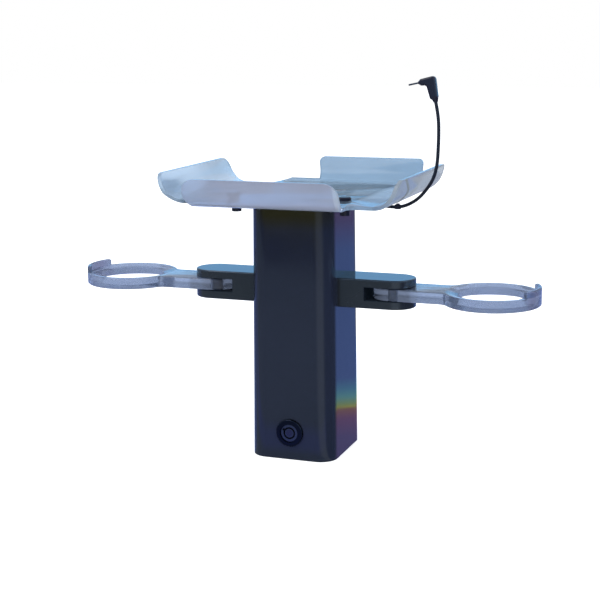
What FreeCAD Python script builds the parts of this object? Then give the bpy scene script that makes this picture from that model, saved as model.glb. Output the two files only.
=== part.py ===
import FreeCAD, Part
import math
import os

from FreeCAD import Vector

# Counter stand for a headset: a drafted hollow column with a key lock near its foot, a clear bent tray
# on top, a swinging ring holder on each side and a charging lead that rises beside the tray.
# Millimetres, +Z up. The origin is the centre of the column's footprint, on the counter.
# +X is the right side and -Y is the front, where the lock is.

# Column
column_width = 70.0
column_depth = 77.5
column_height = 205.0
column_draft = 1.55
column_corner = 14.0
column_wall = 3.0
column_roof = 3.0
boss_diameter = 9.0
boss_length = 12.0
boss_inset_x = 13.0
boss_inset_y = 14.75
boss_hole = 4.0
keeper_half_width = 12.0
keeper_thickness = 3.0
keeper_reach = 5.5
keeper_lift = 3.0

# Counter plate inside the column's foot
plate_thickness = 3.0
plate_gap = 0.5
bolt_inset_x = 9.5
bolt_inset_y = 10.25
bolt_hole = 5.5
cable_hole = 20.0
lug_half_width = 10.0
lug_post = 4.0
lug_tongue = 3.0
lug_gap = 0.4
catch_thickness = 3.0
catch_depth = 9.0
catch_gap = 0.5

# Tray: one bent sheet
tray_sheet = 3.0
bend_start = 75.5
bend_radius = 17.0
bend_angle = 70.0
flap_top = 22.7
side_half_length = 62.5
side_flap_flare = 5.0
flap_flare_height = 8.0
side_flap_corner = 9.5
front_flap_width = 117.0
front_flap_offset = -2.0
front_flap_flare = 2.5
front_flap_corner = 10.5
back_flap_left = -16.0
back_flap_flare = 4.0
back_flap_right = 71.0
back_flap_corner = 4.2
back_neck_x = -52.0
low_lip_x = -49.5
low_lip_angle = 30.0
low_lip_shoulder = 3.5
low_lip_lean = 1.0
low_lip_slant = 1.3
notch_fillet = 5.0
tray_screw_hole = 4.4
tray_screw_head = 8.4

# Headset bumpers and the nuts under the tray
bumper_x = 44.5
bumper_y = -33.0
bumper_diameter = 9.6
bumper_height = 2.6
bumper_edge = 0.8
bumper_stem = 4.0
bumper_stem_length = 11.0
bumper_nut_diameter = 7.6
bumper_nut_length = 8.6

# Fork brackets
fork_centre_y = -3.2
fork_width = 33.3
fork_bottom = 122.2
fork_height = 23.0
slot_height = 10.4
slot_start = 55.2
pivot_x = 75.5
fork_edge = 1.0
fork_screw_spread = 18.0
fork_screw = 4.0
fork_screw_depth = 12.0
fork_screw_head = 7.0
fork_screw_head_height = 2.6

# Pivot screw and thrust washers
shoulder = 8.0
shoulder_tip = 6.0
shoulder_tip_length = 4.2
pivot_head = 11.0
pivot_head_height = 3.0
running_gap = 0.05
washer_thickness = 0.5
washer_outer = 16.0

# Ring holder arms
arm_thickness = 9.2
ring_reach = 76.8
ring_radius = 37.4
ring_hole = 25.9
seat_radius = 34.0
seat_depth = 2.2
arm_fillet = 8.0
arm_edge = 0.8
lip_height = 5.1
lip_thickness = 3.4
lip_front_angle = 34.5
lip_back_angle = 30.5
lip_corner = 1.6

# Key lock in the front wall
lock_z = 22.0
lock_flange = 22.0
lock_flange_thickness = 2.2
lock_flange_edge = 0.8
lock_body = 19.0
lock_flats = 16.0
lock_body_length = 18.0
lock_hole_gap = 0.1
lock_bore = 12.1
lock_recess = 15.5
lock_recess_depth = 1.0
lock_nut_flats = 24.0
lock_nut_thickness = 4.0
plug_step = 13.6
plug_step_depth = 3.0
keyway_outer = 9.8
keyway_inner = 7.2
keyway_depth = 6.0
key_notch = 2.2
key_notch_angle = 150.0
cam_square = 6.0
cam_length = 17.0
cam_half_width = 5.0
cam_thickness = 2.0
cam_screw_head = 9.0
cam_screw_head_height = 2.5
cam_screw = 4.0
cam_screw_depth = 8.0

# Power board inside the column
bracket_thickness = 1.5
bracket_side_room = 7.0
bracket_depth = 10.0
bracket_drop = 60.0
bracket_screw = 3.9
bracket_screw_depth = 4.0
bracket_screw_head_height = 2.4
board_half_width = 21.0
board_thickness = 1.6
board_height = 48.0
board_drop = 9.0
standoff_length = 4.0
standoff_diameter = 5.0
standoff_side_inset = 4.0
standoff_inset = 5.0
board_screw = 2.6
board_screw_head = 5.0
board_screw_head_height = 2.0
socket_width = 10.0
socket_height = 11.0
socket_x = 8.0
output_drop = 9.0
choke_diameter = 10.0
choke_height = 8.0
capacitor_diameter = 8.0
capacitor_height = 12.0

# Charging lead
cord_diameter = 2.6
gland_y = 10.0
gland_drop = 5.8
gland_neck = 5.0
gland_flange = 7.4
gland_flange_thickness = 1.2
gland_nose_start = 6.0
gland_nose_end = 4.0
gland_nose_length = 10.0
clip_x = 79.5
clip_size = 4.0
clip_wall = 0.6
clip_web = 2.0
clip_gap = 0.05
plug_relief_length = 2.4
plug_relief_foot = 3.3
plug_relief_top = 5.2
plug_leg_bottom = 5.9
plug_leg_top = 8.0
plug_leg_offset = 0.4
plug_leg_length = 16.6
plug_head_height = 5.8
plug_head_tip = 4.8
plug_head_length = 9.2
plug_nose_length = 1.0
plug_nose_end = 2.2
plug_depth = 6.0
plug_elbow_round = 2.7
plug_corner_round = 1.9
plug_rim_round = 1.5
barrel_diameter = 1.3
barrel_length = 7.7
barrel_bore = 0.5
barrel_bore_depth = 6.0

# The lead's route, from the gland's nose to the foot of the plug: out from the column's right wall at the
# gland, along Y, and up from the tray's underside
CORD_ROUTE = [
    (11.2, 10.0, -5.8), (19.5, 10.0, -5.8), (28.5, 5.0, -5.3), (35.2, -3.0, -4.5),
    (41.6, -9.8, -3.9), (51.0, -13.0, -3.0), (61.0, -14.0, 1.9), (68.0, -14.2, 8.8),
    (74.7, -14.0, 18.6), (77.5, -14.0, 29.5), (78.2, -14.0, 42.0), (78.45, -14.0, 54.5),
    (77.98, -14.0, 66.4), (75.9, -14.0, 76.2),
]

# The lead's bends inside the column: the upper two from the gland's inner end, the lower two from the
# middle of the socket's top
UPPER_BENDS = [(-9.5, 0.0, 0.0), (-17.9, 1.4, -5.0)]
LOWER_BENDS = [(0.6, -3.2, 13.4), (0.0, 0.0, 6.5)]

X_AXIS = Vector(1, 0, 0)
Y_AXIS = Vector(0, 1, 0)
Z_AXIS = Vector(0, 0, 1)


def wall_lean(z):
    """How far a side wall has come in at height z."""
    return column_draft * z / column_height


def side_face(z):
    """X of the column's right outer face at height z."""
    return column_width / 2 - wall_lean(z)


def front_face(z):
    """Y of the column's front outer face at height z."""
    return -column_depth / 2 + wall_lean(z)


def box(x0, x1, y0, y1, z0, z1):
    """A block between two corners."""
    return Part.makeBox(x1 - x0, y1 - y0, z1 - z0, Vector(x0, y0, z0))


def rod(diameter, length, start, axis):
    """A cylinder from a point along an axis."""
    return Part.makeCylinder(diameter / 2, length, start, axis)


def rounded_outline(half_x, half_y, radius, z):
    """A closed rectangle with round corners at height z."""
    edges = []
    points = []
    for corner, (sx, sy) in enumerate(((1, 1), (-1, 1), (-1, -1), (1, -1))):
        centre = Vector(sx * (half_x - radius), sy * (half_y - radius), z)
        angles = [math.radians(90 * corner + part) for part in (0, 45, 90)]
        arc = [centre + Vector(radius * math.cos(a), radius * math.sin(a), 0) for a in angles]
        edges.append(Part.Arc(*arc).toShape())
        points.append((arc[0], arc[2]))
    for corner in range(4):
        edges.append(Part.makeLine(points[corner][1], points[(corner + 1) % 4][0]))
    return Part.Wire(Part.__sortEdges__(edges))


def drafted_block(inset, z0, z1):
    """The column's outer form, brought in by inset, between two heights."""
    outlines = []
    for z in (z0, z1):
        lean = wall_lean(z) + inset
        radius = column_corner - inset
        outlines.append(rounded_outline(column_width / 2 - lean, column_depth / 2 - lean, radius, z))
    return Part.makeLoft(outlines, True, True)


def mirrored(shape):
    """The same piece on the other side of the stand."""
    return shape.mirror(Vector(0, 0, 0), X_AXIS)


def revolve_z(points, centre):
    """A turned solid about a vertical line, from (radius, z) points."""
    outline = [Vector(centre.x + r, centre.y, z) for r, z in points]
    face = Part.Face(Part.makePolygon(outline + outline[:1]))
    return face.revolve(Vector(centre.x, centre.y, 0), Z_AXIS, 360)


# Heights and places that follow from the sizes
tray_bottom = column_height
boss_x = column_width / 2 - boss_inset_x
boss_y = column_depth / 2 - boss_inset_y
gland_z = column_height - gland_drop
tray_floor = tray_bottom + tray_sheet
slot_bottom = fork_bottom + (fork_height - slot_height) / 2
slot_top = slot_bottom + slot_height
arm_bottom = slot_bottom + (slot_height - arm_thickness) / 2
arm_top = arm_bottom + arm_thickness
pivot = Vector(pivot_x, fork_centre_y, 0)
ring_centre = Vector(pivot_x + ring_reach, fork_centre_y, 0)
fork_middle_z = fork_bottom + fork_height / 2
seat_y = front_face(lock_z) + wall_lean(lock_flange) + 0.1
lock_back_y = seat_y + lock_body_length
inner_front_y = front_face(lock_z) + column_wall + 0.1
keeper_front = column_depth / 2 - column_wall - keeper_reach
keeper_bottom = plate_thickness + keeper_lift


def tray_screw_places():
    """Centres of the four tray screws and their bosses."""
    return [Vector(sx * boss_x, sy * boss_y, 0) for sx in (-1, 1) for sy in (-1, 1)]


def fork_screw_places():
    """Heights along Y of a fork's two screws."""
    return [fork_centre_y - fork_screw_spread / 2, fork_centre_y + fork_screw_spread / 2]


def lock_body_form(extra, y0, y1):
    """The lock's threaded body with its two flats, between two depths."""
    barrel = rod(lock_body + 2 * extra, y1 - y0, Vector(0, y0, lock_z), Y_AXIS)
    half = lock_flats / 2 + extra
    return barrel.common(box(-lock_body, lock_body, y0, y1, lock_z - half, lock_z + half))


def column_shell():
    """Hollow moulded column, open below, with roof bosses and a keeper rib under the plate's tongue."""
    shell = drafted_block(0, 0, column_height)
    shell = shell.cut(drafted_block(column_wall, 0, column_height - column_roof))
    boss_bottom = column_height - boss_length - column_roof
    for place in tray_screw_places():
        boss = rod(boss_diameter, boss_length + column_roof, place + Vector(0, 0, boss_bottom), Z_AXIS)
        hole = rod(boss_hole, boss_length + column_roof, place + Vector(0, 0, boss_bottom), Z_AXIS)
        shell = shell.fuse(boss).cut(hole)
    rib = box(-keeper_half_width, keeper_half_width, keeper_front, column_depth / 2 - column_wall / 2,
              keeper_bottom, keeper_bottom + keeper_thickness)
    shell = shell.fuse(rib)
    shell = shell.cut(lock_body_form(lock_hole_gap, -column_depth, 0))
    spot = rod(lock_flange + 1, column_depth, Vector(0, seat_y, lock_z), -Y_AXIS)
    shell = shell.cut(spot)
    for y in fork_screw_places():
        shell = shell.cut(rod(fork_screw + 0.4, column_width * 2, Vector(-column_width, y, fork_middle_z),
                              X_AXIS))
    wall_hole = rod(gland_neck, column_width, Vector(0, gland_y, gland_z), X_AXIS)
    return shell.cut(wall_hole).removeSplitter()


def base_plate():
    """Counter plate with its rear tongue, the catch for the lock's cam, bolt holes and a cable hole."""
    inset = column_wall + plate_gap
    plate = drafted_block(inset, 0, plate_thickness)
    tongue_bottom = keeper_bottom + keeper_thickness + lug_gap
    tongue_top = tongue_bottom + lug_tongue
    post_back = keeper_front - 2 * lug_gap
    plate = plate.fuse(box(-lug_half_width, lug_half_width, post_back - lug_post, post_back, 0, tongue_top))
    plate = plate.fuse(box(-lug_half_width, lug_half_width, post_back - lug_post,
                           keeper_front + keeper_reach - 1.0, tongue_bottom, tongue_top))
    cam_middle = lock_back_y + cam_thickness / 2
    post_start = cam_length + 2.5
    catch_under = lock_z + cam_half_width + catch_gap
    catch_top = catch_under + catch_thickness
    catch_front = cam_middle - catch_depth / 2
    catch_back = cam_middle + catch_depth / 2
    post = box(post_start, post_start + catch_thickness, catch_front, catch_back, 0, catch_top)
    hook_start = lock_body / 2 + 1.0
    hook = box(hook_start, post_start + catch_thickness, catch_front, catch_back, catch_under, catch_top)
    plate = plate.fuse(post).fuse(hook)
    for sx in (-1, 1):
        for sy in (-1, 1):
            place = Vector(sx * (column_width / 2 - inset - bolt_inset_x),
                           sy * (column_depth / 2 - inset - bolt_inset_y), -1)
            plate = plate.cut(rod(bolt_hole, plate_thickness + 2, place, Z_AXIS))
    plate = plate.cut(rod(cable_hole, plate_thickness + 2, Vector(0, 0, -1), Z_AXIS))
    return plate.removeSplitter()


def flap_profile():
    """Section of a bent flap: (out, up) points of a face that leaves the floor's edge and turns up."""
    outer = bend_radius + tray_sheet
    turn = math.radians(bend_angle)
    lean = Vector(math.cos(turn), 0, math.sin(turn))
    centre_up = tray_bottom + outer
    arcs = []
    for radius in (outer, bend_radius):
        marks = [Vector(bend_start + radius * math.sin(a), 0, centre_up - radius * math.cos(a))
                 for a in (0, turn / 2, turn)]
        arcs.append(marks)
    rise = tray_bottom + flap_top
    outer_end = arcs[0][2] + lean * ((rise - arcs[0][2].z) / lean.z)
    inner_end = arcs[1][2] + lean * ((rise - arcs[1][2].z) / lean.z)
    edges = [
        Part.Arc(*arcs[0]).toShape(), Part.makeLine(arcs[0][2], outer_end),
        Part.makeLine(outer_end, inner_end), Part.makeLine(inner_end, arcs[1][2]),
        Part.Arc(*arcs[1]).toShape(), Part.makeLine(arcs[1][0], arcs[0][0]),
    ]
    return Part.Face(Part.Wire(Part.__sortEdges__(edges)))


def flap_blank(half_length):
    """A straight flap on the right side, as long as the widest outline needs."""
    profile = flap_profile()
    profile.translate(Vector(0, -half_length, 0))
    return profile.extrude(Vector(0, 2 * half_length, 0))


def flap_window(start, end, flare_start, flare_end, corner, knee_height):
    """What a flap keeps, seen square on: ends that flare up to a knee, and round upper corners."""
    low = tray_bottom - 1
    knee = tray_bottom + knee_height
    top = tray_bottom + flap_top + 1
    reach = 2 * bend_start
    points = [Vector(0, start, low), Vector(0, start, tray_bottom), Vector(0, start - flare_start, knee),
              Vector(0, start - flare_start, top), Vector(0, end + flare_end, top),
              Vector(0, end + flare_end, knee), Vector(0, end, tray_bottom), Vector(0, end, low)]
    face = Part.Face(Part.makePolygon(points + points[:1]))
    window = face.extrude(Vector(reach, 0, 0))
    rim = tray_bottom + flap_top
    for y, side in ((start - flare_start, 1), (end + flare_end, -1)):
        block = box(0, reach, min(y, y + side * corner), max(y, y + side * corner), rim - corner, top)
        round_off = rod(2 * corner, reach, Vector(0, y + side * corner, rim - corner), X_AXIS)
        window = window.cut(block.cut(round_off))
    return window


def low_lip(blank):
    """The low lip left of the back flap: the bend's first part, cut square and slanting at its end."""
    reach = 2 * (bend_radius + tray_sheet)
    centre = Vector(bend_start, -bend_start, tray_bottom + bend_radius + tray_sheet)
    turn = math.radians(low_lip_angle)
    wedge = [centre, centre - Z_AXIS * reach, centre + Vector(math.sin(turn), 0, -math.cos(turn)) * reach]
    sector = Part.Face(Part.makePolygon(wedge + wedge[:1])).extrude(Vector(0, 2 * bend_start, 0))
    run = bend_radius + tray_sheet
    knee_x = low_lip_x + low_lip_lean
    knee_y = bend_start + low_lip_shoulder
    plan = [Vector(low_lip_x, bend_start, 0), Vector(knee_x, knee_y, 0),
            Vector(knee_x + low_lip_slant * run, knee_y + run, 0),
            Vector(back_flap_left + 1, knee_y + run, 0), Vector(back_flap_left + 1, bend_start, 0)]
    keep = Part.Face(Part.makePolygon(plan + plan[:1])).extrude(Vector(0, 0, 2 * column_height))
    return turned(blank.common(sector), 90).common(keep)


def turned(shape, degrees):
    """A flap made on the right side, turned about the stand's middle to another side."""
    copy = shape.copy()
    copy.rotate(Vector(0, 0, 0), Z_AXIS, degrees)
    return copy


def neck_corners():
    """Plan corners where the front neck and the back neck leave the middle of the floor."""
    half = side_half_length
    return [Vector(front_flap_offset - front_flap_width / 2, -half, 0),
            Vector(front_flap_offset + front_flap_width / 2, -half, 0),
            Vector(back_neck_x, half, 0), Vector(back_flap_right, half, 0)]


def tray_floor_sheet():
    """The flat part: a middle between the side bends and a neck for the front and the back flap."""
    half = side_half_length
    front_left, front_right, back_left, back_right = neck_corners()
    floor = box(-bend_start, bend_start, -half, half, tray_bottom, tray_floor)
    floor = floor.fuse(box(front_left.x, front_right.x, -bend_start, -half, tray_bottom, tray_floor))
    neck = [Vector(back_left.x, half - 1, tray_bottom), Vector(back_left.x, half, tray_bottom),
            Vector(low_lip_x, bend_start, tray_bottom), Vector(back_right.x, bend_start, tray_bottom),
            Vector(back_right.x, half - 1, tray_bottom)]
    neck_face = Part.Face(Part.makePolygon(neck + neck[:1]))
    return floor.fuse(neck_face.extrude(Vector(0, 0, tray_sheet)))


def tray():
    """Clear tray: floor, four upturned flaps, and the low lip left of the back flap."""
    blank = flap_blank(bend_start + side_flap_flare)
    half = side_half_length
    flare = side_flap_flare
    side = blank.common(flap_window(-half, half, flare, flare, side_flap_corner, flap_flare_height))
    sheet = tray_floor_sheet().fuse(side).fuse(mirrored(side))
    # Turned by a quarter, a flap's Y runs along -X of the stand at the back and along +X at the front
    front_left, front_right = neck_corners()[:2]
    flare = front_flap_flare
    front = blank.common(flap_window(front_left.x, front_right.x, flare, flare, front_flap_corner,
                                     flap_flare_height))
    sheet = sheet.fuse(turned(front, -90))
    back = blank.common(flap_window(-back_flap_right, -back_flap_left, 0, back_flap_flare, back_flap_corner,
                                    flap_top - back_flap_corner))
    sheet = sheet.fuse(turned(back, 90)).fuse(low_lip(blank)).removeSplitter()
    sheet = fillet_notches(sheet)
    for place in tray_screw_places():
        sheet = sheet.cut(screw_clearance(place))
    for sx in (-1, 1):
        sheet = sheet.cut(rod(bumper_stem + 0.4, 4 * tray_sheet, bumper_place(sx, tray_bottom - tray_sheet),
                              Z_AXIS))
    return sheet


def fillet_notches(sheet):
    """Rounds the inside corners where the necks meet the middle of the floor, as far as there is room."""
    for corner in neck_corners():
        room = min(bend_start - abs(corner.x), bend_start - abs(corner.y))
        radius = min(notch_fillet, 0.4 * room)
        chosen = []
        for edge in sheet.Edges:
            limits = edge.BoundBox
            upright = limits.XLength < 0.01 and limits.YLength < 0.01 and limits.ZLength > tray_sheet / 2
            at_corner = abs(limits.XMin - corner.x) < 0.01 and abs(limits.YMin - corner.y) < 0.01
            if upright and at_corner and limits.ZMin < tray_floor:
                chosen.append(edge)
        if chosen:
            sheet = sheet.makeFillet(radius, chosen)
    return sheet


def screw_clearance(place):
    """A countersunk hole through the tray."""
    hole = tray_screw_hole / 2
    head = tray_screw_head / 2
    depth = head - hole
    return revolve_z([(0, tray_bottom - 1), (hole, tray_bottom - 1), (hole, tray_floor - depth),
                      (head, tray_floor), (head, tray_floor + 1), (0, tray_floor + 1)], place)


def tray_screws():
    """Four countersunk screws through the tray into the column's bosses."""
    shank = boss_hole / 2 - 0.05
    head = tray_screw_head / 2 - 0.1
    head_depth = tray_screw_head / 2 - tray_screw_hole / 2
    tip = column_height - boss_length * 0.6
    solids = []
    for place in tray_screw_places():
        solid = revolve_z([(0, tip), (shank, tip), (shank, tray_floor - head_depth - 0.1),
                           (head, tray_floor), (0, tray_floor)], place)
        socket = rod(3.0, 1.2, place + Vector(0, 0, tray_floor - 1.2), Z_AXIS)
        solids.append(solid.cut(socket))
    return Part.makeCompound(solids)


def bumper_place(side, z):
    """Where a bumper stands at height z."""
    return Vector(side * bumper_x, bumper_y, z)


def bumper(side):
    """A round button on the tray with a stem through it."""
    centre = bumper_place(side, 0)
    radius = bumper_diameter / 2
    top = tray_floor + bumper_height
    points = [(0, tray_floor - bumper_stem_length), (bumper_stem / 2, tray_floor - bumper_stem_length),
              (bumper_stem / 2, tray_floor), (radius, tray_floor), (radius, top - bumper_edge),
              (radius - bumper_edge, top), (0, top)]
    return revolve_z(points, centre)


def bumper_nuts():
    """The two round nuts that clamp the bumpers from below."""
    solids = []
    for side in (-1, 1):
        start = bumper_place(side, tray_bottom - bumper_nut_length)
        nut = rod(bumper_nut_diameter, bumper_nut_length, start, Z_AXIS)
        solids.append(nut.cut(rod(bumper_stem + 0.1, bumper_nut_length, start, Z_AXIS)))
    return Part.makeCompound(solids)


def stadium(half_width, x_start, centre, z0, height):
    """A block whose outer end is a half circle about a centre."""
    body = box(x_start, centre.x, centre.y - half_width, centre.y + half_width, z0, z0 + height)
    return body.fuse(rod(2 * half_width, height, Vector(centre.x, centre.y, z0), Z_AXIS)).removeSplitter()


def fork():
    """Right fork bracket: a block with a round end and a slot for the arm, seated on the column."""
    body = stadium(fork_width / 2, side_face(column_height) - column_wall, pivot, fork_bottom, fork_height)
    rims = []
    for edge in body.Edges:
        box_of_edge = edge.BoundBox
        flat = box_of_edge.ZLength < 0.01
        outer = box_of_edge.XMax > side_face(0)
        if flat and outer:
            rims.append(edge)
    body = body.makeFillet(fork_edge, rims)
    slot = box(slot_start, pivot_x + fork_width, fork_centre_y - fork_width, fork_centre_y + fork_width,
               slot_bottom, slot_top)
    body = body.cut(slot)
    bore = pivot + Vector(0, 0, fork_bottom - 1)
    body = body.cut(rod(shoulder + 2 * running_gap, fork_height / 2, bore, Z_AXIS))
    body = body.cut(rod(pivot_head + 0.4, pivot_head_height + 1.2, bore, Z_AXIS))
    tip_start = pivot + Vector(0, 0, slot_top - 1)
    body = body.cut(rod(shoulder_tip + 2 * running_gap, shoulder_tip_length + 1.2, tip_start, Z_AXIS))
    for y in fork_screw_places():
        start = Vector(0, y, fork_middle_z)
        body = body.cut(rod(fork_screw + 0.1, side_face(fork_bottom) + fork_screw_depth + 0.5, start, X_AXIS))
    return body.cut(drafted_block(0, 0, column_height))


def fork_screws():
    """Two screws on the right that hold the fork from inside the column."""
    inner = side_face(fork_middle_z) - column_wall - 0.05
    solids = []
    for y in fork_screw_places():
        head = rod(fork_screw_head, fork_screw_head_height, Vector(inner, y, fork_middle_z), -X_AXIS)
        length = side_face(fork_middle_z) + fork_screw_depth - inner
        shank = rod(fork_screw, length, Vector(inner, y, fork_middle_z), X_AXIS)
        solids.append(head.fuse(shank).removeSplitter())
    return Part.makeCompound(solids)


def pivot_screw():
    """Shoulder screw from below: head in the lower ear, shoulder through the arm, tip in the upper ear."""
    head_bottom = fork_bottom + 0.2
    head_top = fork_bottom + pivot_head_height + 0.2
    tip_top = slot_top + shoulder_tip_length
    points = [(0, head_bottom), (pivot_head / 2, head_bottom), (pivot_head / 2, head_top),
              (shoulder / 2, head_top), (shoulder / 2, slot_top), (shoulder_tip / 2, slot_top),
              (shoulder_tip / 2, tip_top), (0, tip_top)]
    solid = revolve_z(points, pivot)
    return solid.cut(hexagon_prism(5.0, 1.8, pivot + Vector(0, 0, head_bottom), Z_AXIS))


def hexagon_prism(flats, length, start, axis):
    """A six-sided bar from a point along an axis."""
    radius = flats / math.sqrt(3)
    ring = [Vector(radius * math.cos(math.radians(60 * k)), radius * math.sin(math.radians(60 * k)), 0)
            for k in range(6)]
    bar = Part.Face(Part.makePolygon(ring + ring[:1])).extrude(Vector(0, 0, length))
    bar.Placement = FreeCAD.Placement(start, FreeCAD.Rotation(Z_AXIS, axis))
    return bar


def thrust_washers():
    """Two thin washers that the arm turns between."""
    solids = []
    for z in (slot_bottom, slot_top - washer_thickness):
        start = pivot + Vector(0, 0, z)
        ring = rod(washer_outer, washer_thickness, start, Z_AXIS)
        solids.append(ring.cut(rod(shoulder + 0.3, washer_thickness, start, Z_AXIS)))
    return Part.makeCompound(solids)


def arm_outline(z):
    """Plan of the arm: round inner end, straight bar and ring, joined by concave arcs."""
    half = fork_width / 2
    joint = math.sqrt((ring_radius + arm_fillet) ** 2 - (half + arm_fillet) ** 2)
    fillet_x = ring_centre.x - joint
    touch = ring_radius / (ring_radius + arm_fillet)
    edges = []
    inner_mid = Vector(pivot.x - half, fork_centre_y, z)
    ends = {}
    for side in (1, -1):
        y = fork_centre_y + side * half
        centre = Vector(fillet_x, y + side * arm_fillet, z)
        bar_end = Vector(fillet_x, y, z)
        on_ring = Vector(ring_centre.x - joint * touch,
                         fork_centre_y + side * (half + arm_fillet) * touch, z)
        toward = (bar_end + on_ring) * 0.5 - centre
        middle = centre + toward * (arm_fillet / toward.Length)
        bar_start = Vector(pivot.x, y, z)
        edges.append(Part.makeLine(bar_start, bar_end))
        edges.append(Part.Arc(bar_end, middle, on_ring).toShape())
        ends[side] = (bar_start, on_ring)
    edges.append(Part.Arc(ends[1][0], inner_mid, ends[-1][0]).toShape())
    far = Vector(ring_centre.x + ring_radius, fork_centre_y, z)
    edges.append(Part.Arc(ends[1][1], far, ends[-1][1]).toShape())
    return Part.Wire(Part.__sortEdges__(edges))


def ring_lip():
    """Upstanding lip round the outer end of the ring, flush with the ring's outside."""
    z0 = arm_bottom + arm_edge
    height = arm_top + lip_height - z0
    reach = ring_radius * 3
    start = Vector(ring_centre.x, ring_centre.y, z0)
    band = rod(2 * ring_radius, height, start, Z_AXIS)
    band = band.cut(rod(2 * (ring_radius - lip_thickness), height, start, Z_AXIS))
    front = math.radians(-lip_front_angle)
    back = math.radians(lip_back_angle)
    wedge = [start, start + Vector(math.cos(front), math.sin(front), 0) * reach,
             start + X_AXIS * (2 * reach), start + Vector(math.cos(back), math.sin(back), 0) * reach]
    sector = Part.Face(Part.makePolygon(wedge + wedge[:1])).extrude(Vector(0, 0, height))
    lip = band.common(sector)
    top = [e for e in lip.Edges if e.BoundBox.ZMin > z0 + height - 0.01]
    return lip.makeFillet(min(lip_corner, lip_thickness * 0.4), top)


def arm():
    """Right arm: a clear bar with a round inner end and a ring dished on both sides, with a lip."""
    blank = Part.Face(arm_outline(arm_bottom)).extrude(Vector(0, 0, arm_thickness))
    rims = [e for e in blank.Edges if e.BoundBox.ZLength < 0.01]
    blank = blank.makeChamfer(arm_edge, rims)
    opening = revolve_z([
        (0, arm_bottom - 1), (seat_radius, arm_bottom - 1), (seat_radius, arm_bottom),
        (ring_hole, arm_bottom + seat_depth), (ring_hole, arm_top - seat_depth),
        (seat_radius, arm_top), (seat_radius, arm_top + 1), (0, arm_top + 1),
    ], ring_centre)
    body = blank.cut(opening).fuse(ring_lip())
    bore = pivot + Vector(0, 0, arm_bottom - 1)
    return body.cut(rod(shoulder + 2 * running_gap, arm_thickness + 2, bore, Z_AXIS)).removeSplitter()


def lock_barrel():
    """Lock housing: flange with a recess, body with flats and the bore that the plug turns in."""
    flange = rod(lock_flange, lock_flange_thickness, Vector(0, seat_y, lock_z), -Y_AXIS)
    front_y = seat_y - lock_flange_thickness
    rims = [e for e in flange.Edges if abs(e.BoundBox.YMax - front_y) < 0.01]
    flange = flange.makeFillet(lock_flange_edge, rims)
    body = flange.fuse(lock_body_form(0, seat_y, lock_back_y))
    start = Vector(0, front_y, lock_z)
    body = body.cut(rod(lock_recess, lock_recess_depth, start, Y_AXIS))
    body = body.cut(rod(plug_step + 2 * running_gap, plug_step_depth, start, Y_AXIS))
    return body.cut(rod(lock_bore, lock_body_length * 2, start, Y_AXIS)).removeSplitter()


def lock_nut():
    """Hexagon nut that clamps the lock to the front wall from inside."""
    nut = hexagon_prism(lock_nut_flats, lock_nut_thickness, Vector(0, inner_front_y, lock_z), Y_AXIS)
    return nut.cut(lock_body_form(lock_hole_gap, inner_front_y - 1, inner_front_y + lock_nut_thickness + 1))


def lock_plug():
    """Turning core: stepped face with a tubular keyway and its notch, square tail for the cam."""
    front_y = seat_y - lock_flange_thickness
    face_y = front_y + lock_recess_depth * 0.6
    step_back = front_y + plug_step_depth - 0.02
    core = rod(plug_step, step_back - face_y, Vector(0, face_y, lock_z), Y_AXIS)
    core = core.fuse(rod(lock_bore - 2 * running_gap, lock_back_y - 0.05 - step_back,
                         Vector(0, step_back, lock_z), Y_AXIS))
    half = cam_square / 2
    tail = box(-half, half, lock_back_y - 0.05, lock_back_y + cam_thickness, lock_z - half, lock_z + half)
    core = core.fuse(tail)
    keyway = rod(keyway_outer, keyway_depth, Vector(0, face_y, lock_z), Y_AXIS)
    keyway = keyway.cut(rod(keyway_inner, keyway_depth, Vector(0, face_y, lock_z), Y_AXIS))
    notch = box(keyway_inner / 2, plug_step / 2 - 0.6, face_y, face_y + keyway_depth * 0.5,
                lock_z - key_notch / 2, lock_z + key_notch / 2)
    notch.rotate(Vector(0, 0, lock_z), Y_AXIS, -key_notch_angle)
    core = core.cut(keyway).cut(notch)
    thread = rod(cam_screw + 0.1, cam_screw_depth, Vector(0, lock_back_y + cam_thickness, lock_z), -Y_AXIS)
    return core.cut(thread).removeSplitter()


def lock_cam():
    """Flat cam on the plug's tail, pointing right when locked."""
    y0 = lock_back_y
    bar = box(0, cam_length - cam_half_width, y0, y0 + cam_thickness, lock_z - cam_half_width,
              lock_z + cam_half_width)
    for x in (0, cam_length - cam_half_width):
        bar = bar.fuse(rod(2 * cam_half_width, cam_thickness, Vector(x, y0, lock_z), Y_AXIS))
    half = cam_square / 2 + running_gap
    return bar.removeSplitter().cut(box(-half, half, y0 - 1, y0 + cam_thickness + 1, lock_z - half,
                                        lock_z + half))


def cam_screw_solid():
    """Screw that holds the cam on the plug's tail."""
    y0 = lock_back_y + cam_thickness
    head = rod(cam_screw_head, cam_screw_head_height, Vector(0, y0, lock_z), Y_AXIS)
    edge = [e for e in head.Edges if abs(e.BoundBox.YMin - y0 - cam_screw_head_height) < 0.01]
    head = head.makeFillet(0.8, edge)
    shank = rod(cam_screw, cam_screw_depth - 0.5, Vector(0, y0, lock_z), -Y_AXIS)
    return head.fuse(shank).removeSplitter()


# Places of the power board
bracket_top = column_height - column_roof - boss_length
bracket_back = boss_y + bracket_depth / 2
plate_front = bracket_back - bracket_thickness
board_back = plate_front - standoff_length
board_front = board_back - board_thickness
board_top = bracket_top - board_drop
board_bottom = board_top - board_height
socket_depth = socket_width - 1
socket_top = board_top - output_drop
bracket_half_width = column_width / 2 - bracket_side_room
standoff_x = board_half_width - standoff_side_inset


def standoff_places():
    """Centres of the four standoffs on the bracket."""
    heights = (board_bottom + standoff_inset, board_top - standoff_inset)
    return [(sx * standoff_x, z) for sx in (-1, 1) for z in heights]


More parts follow.
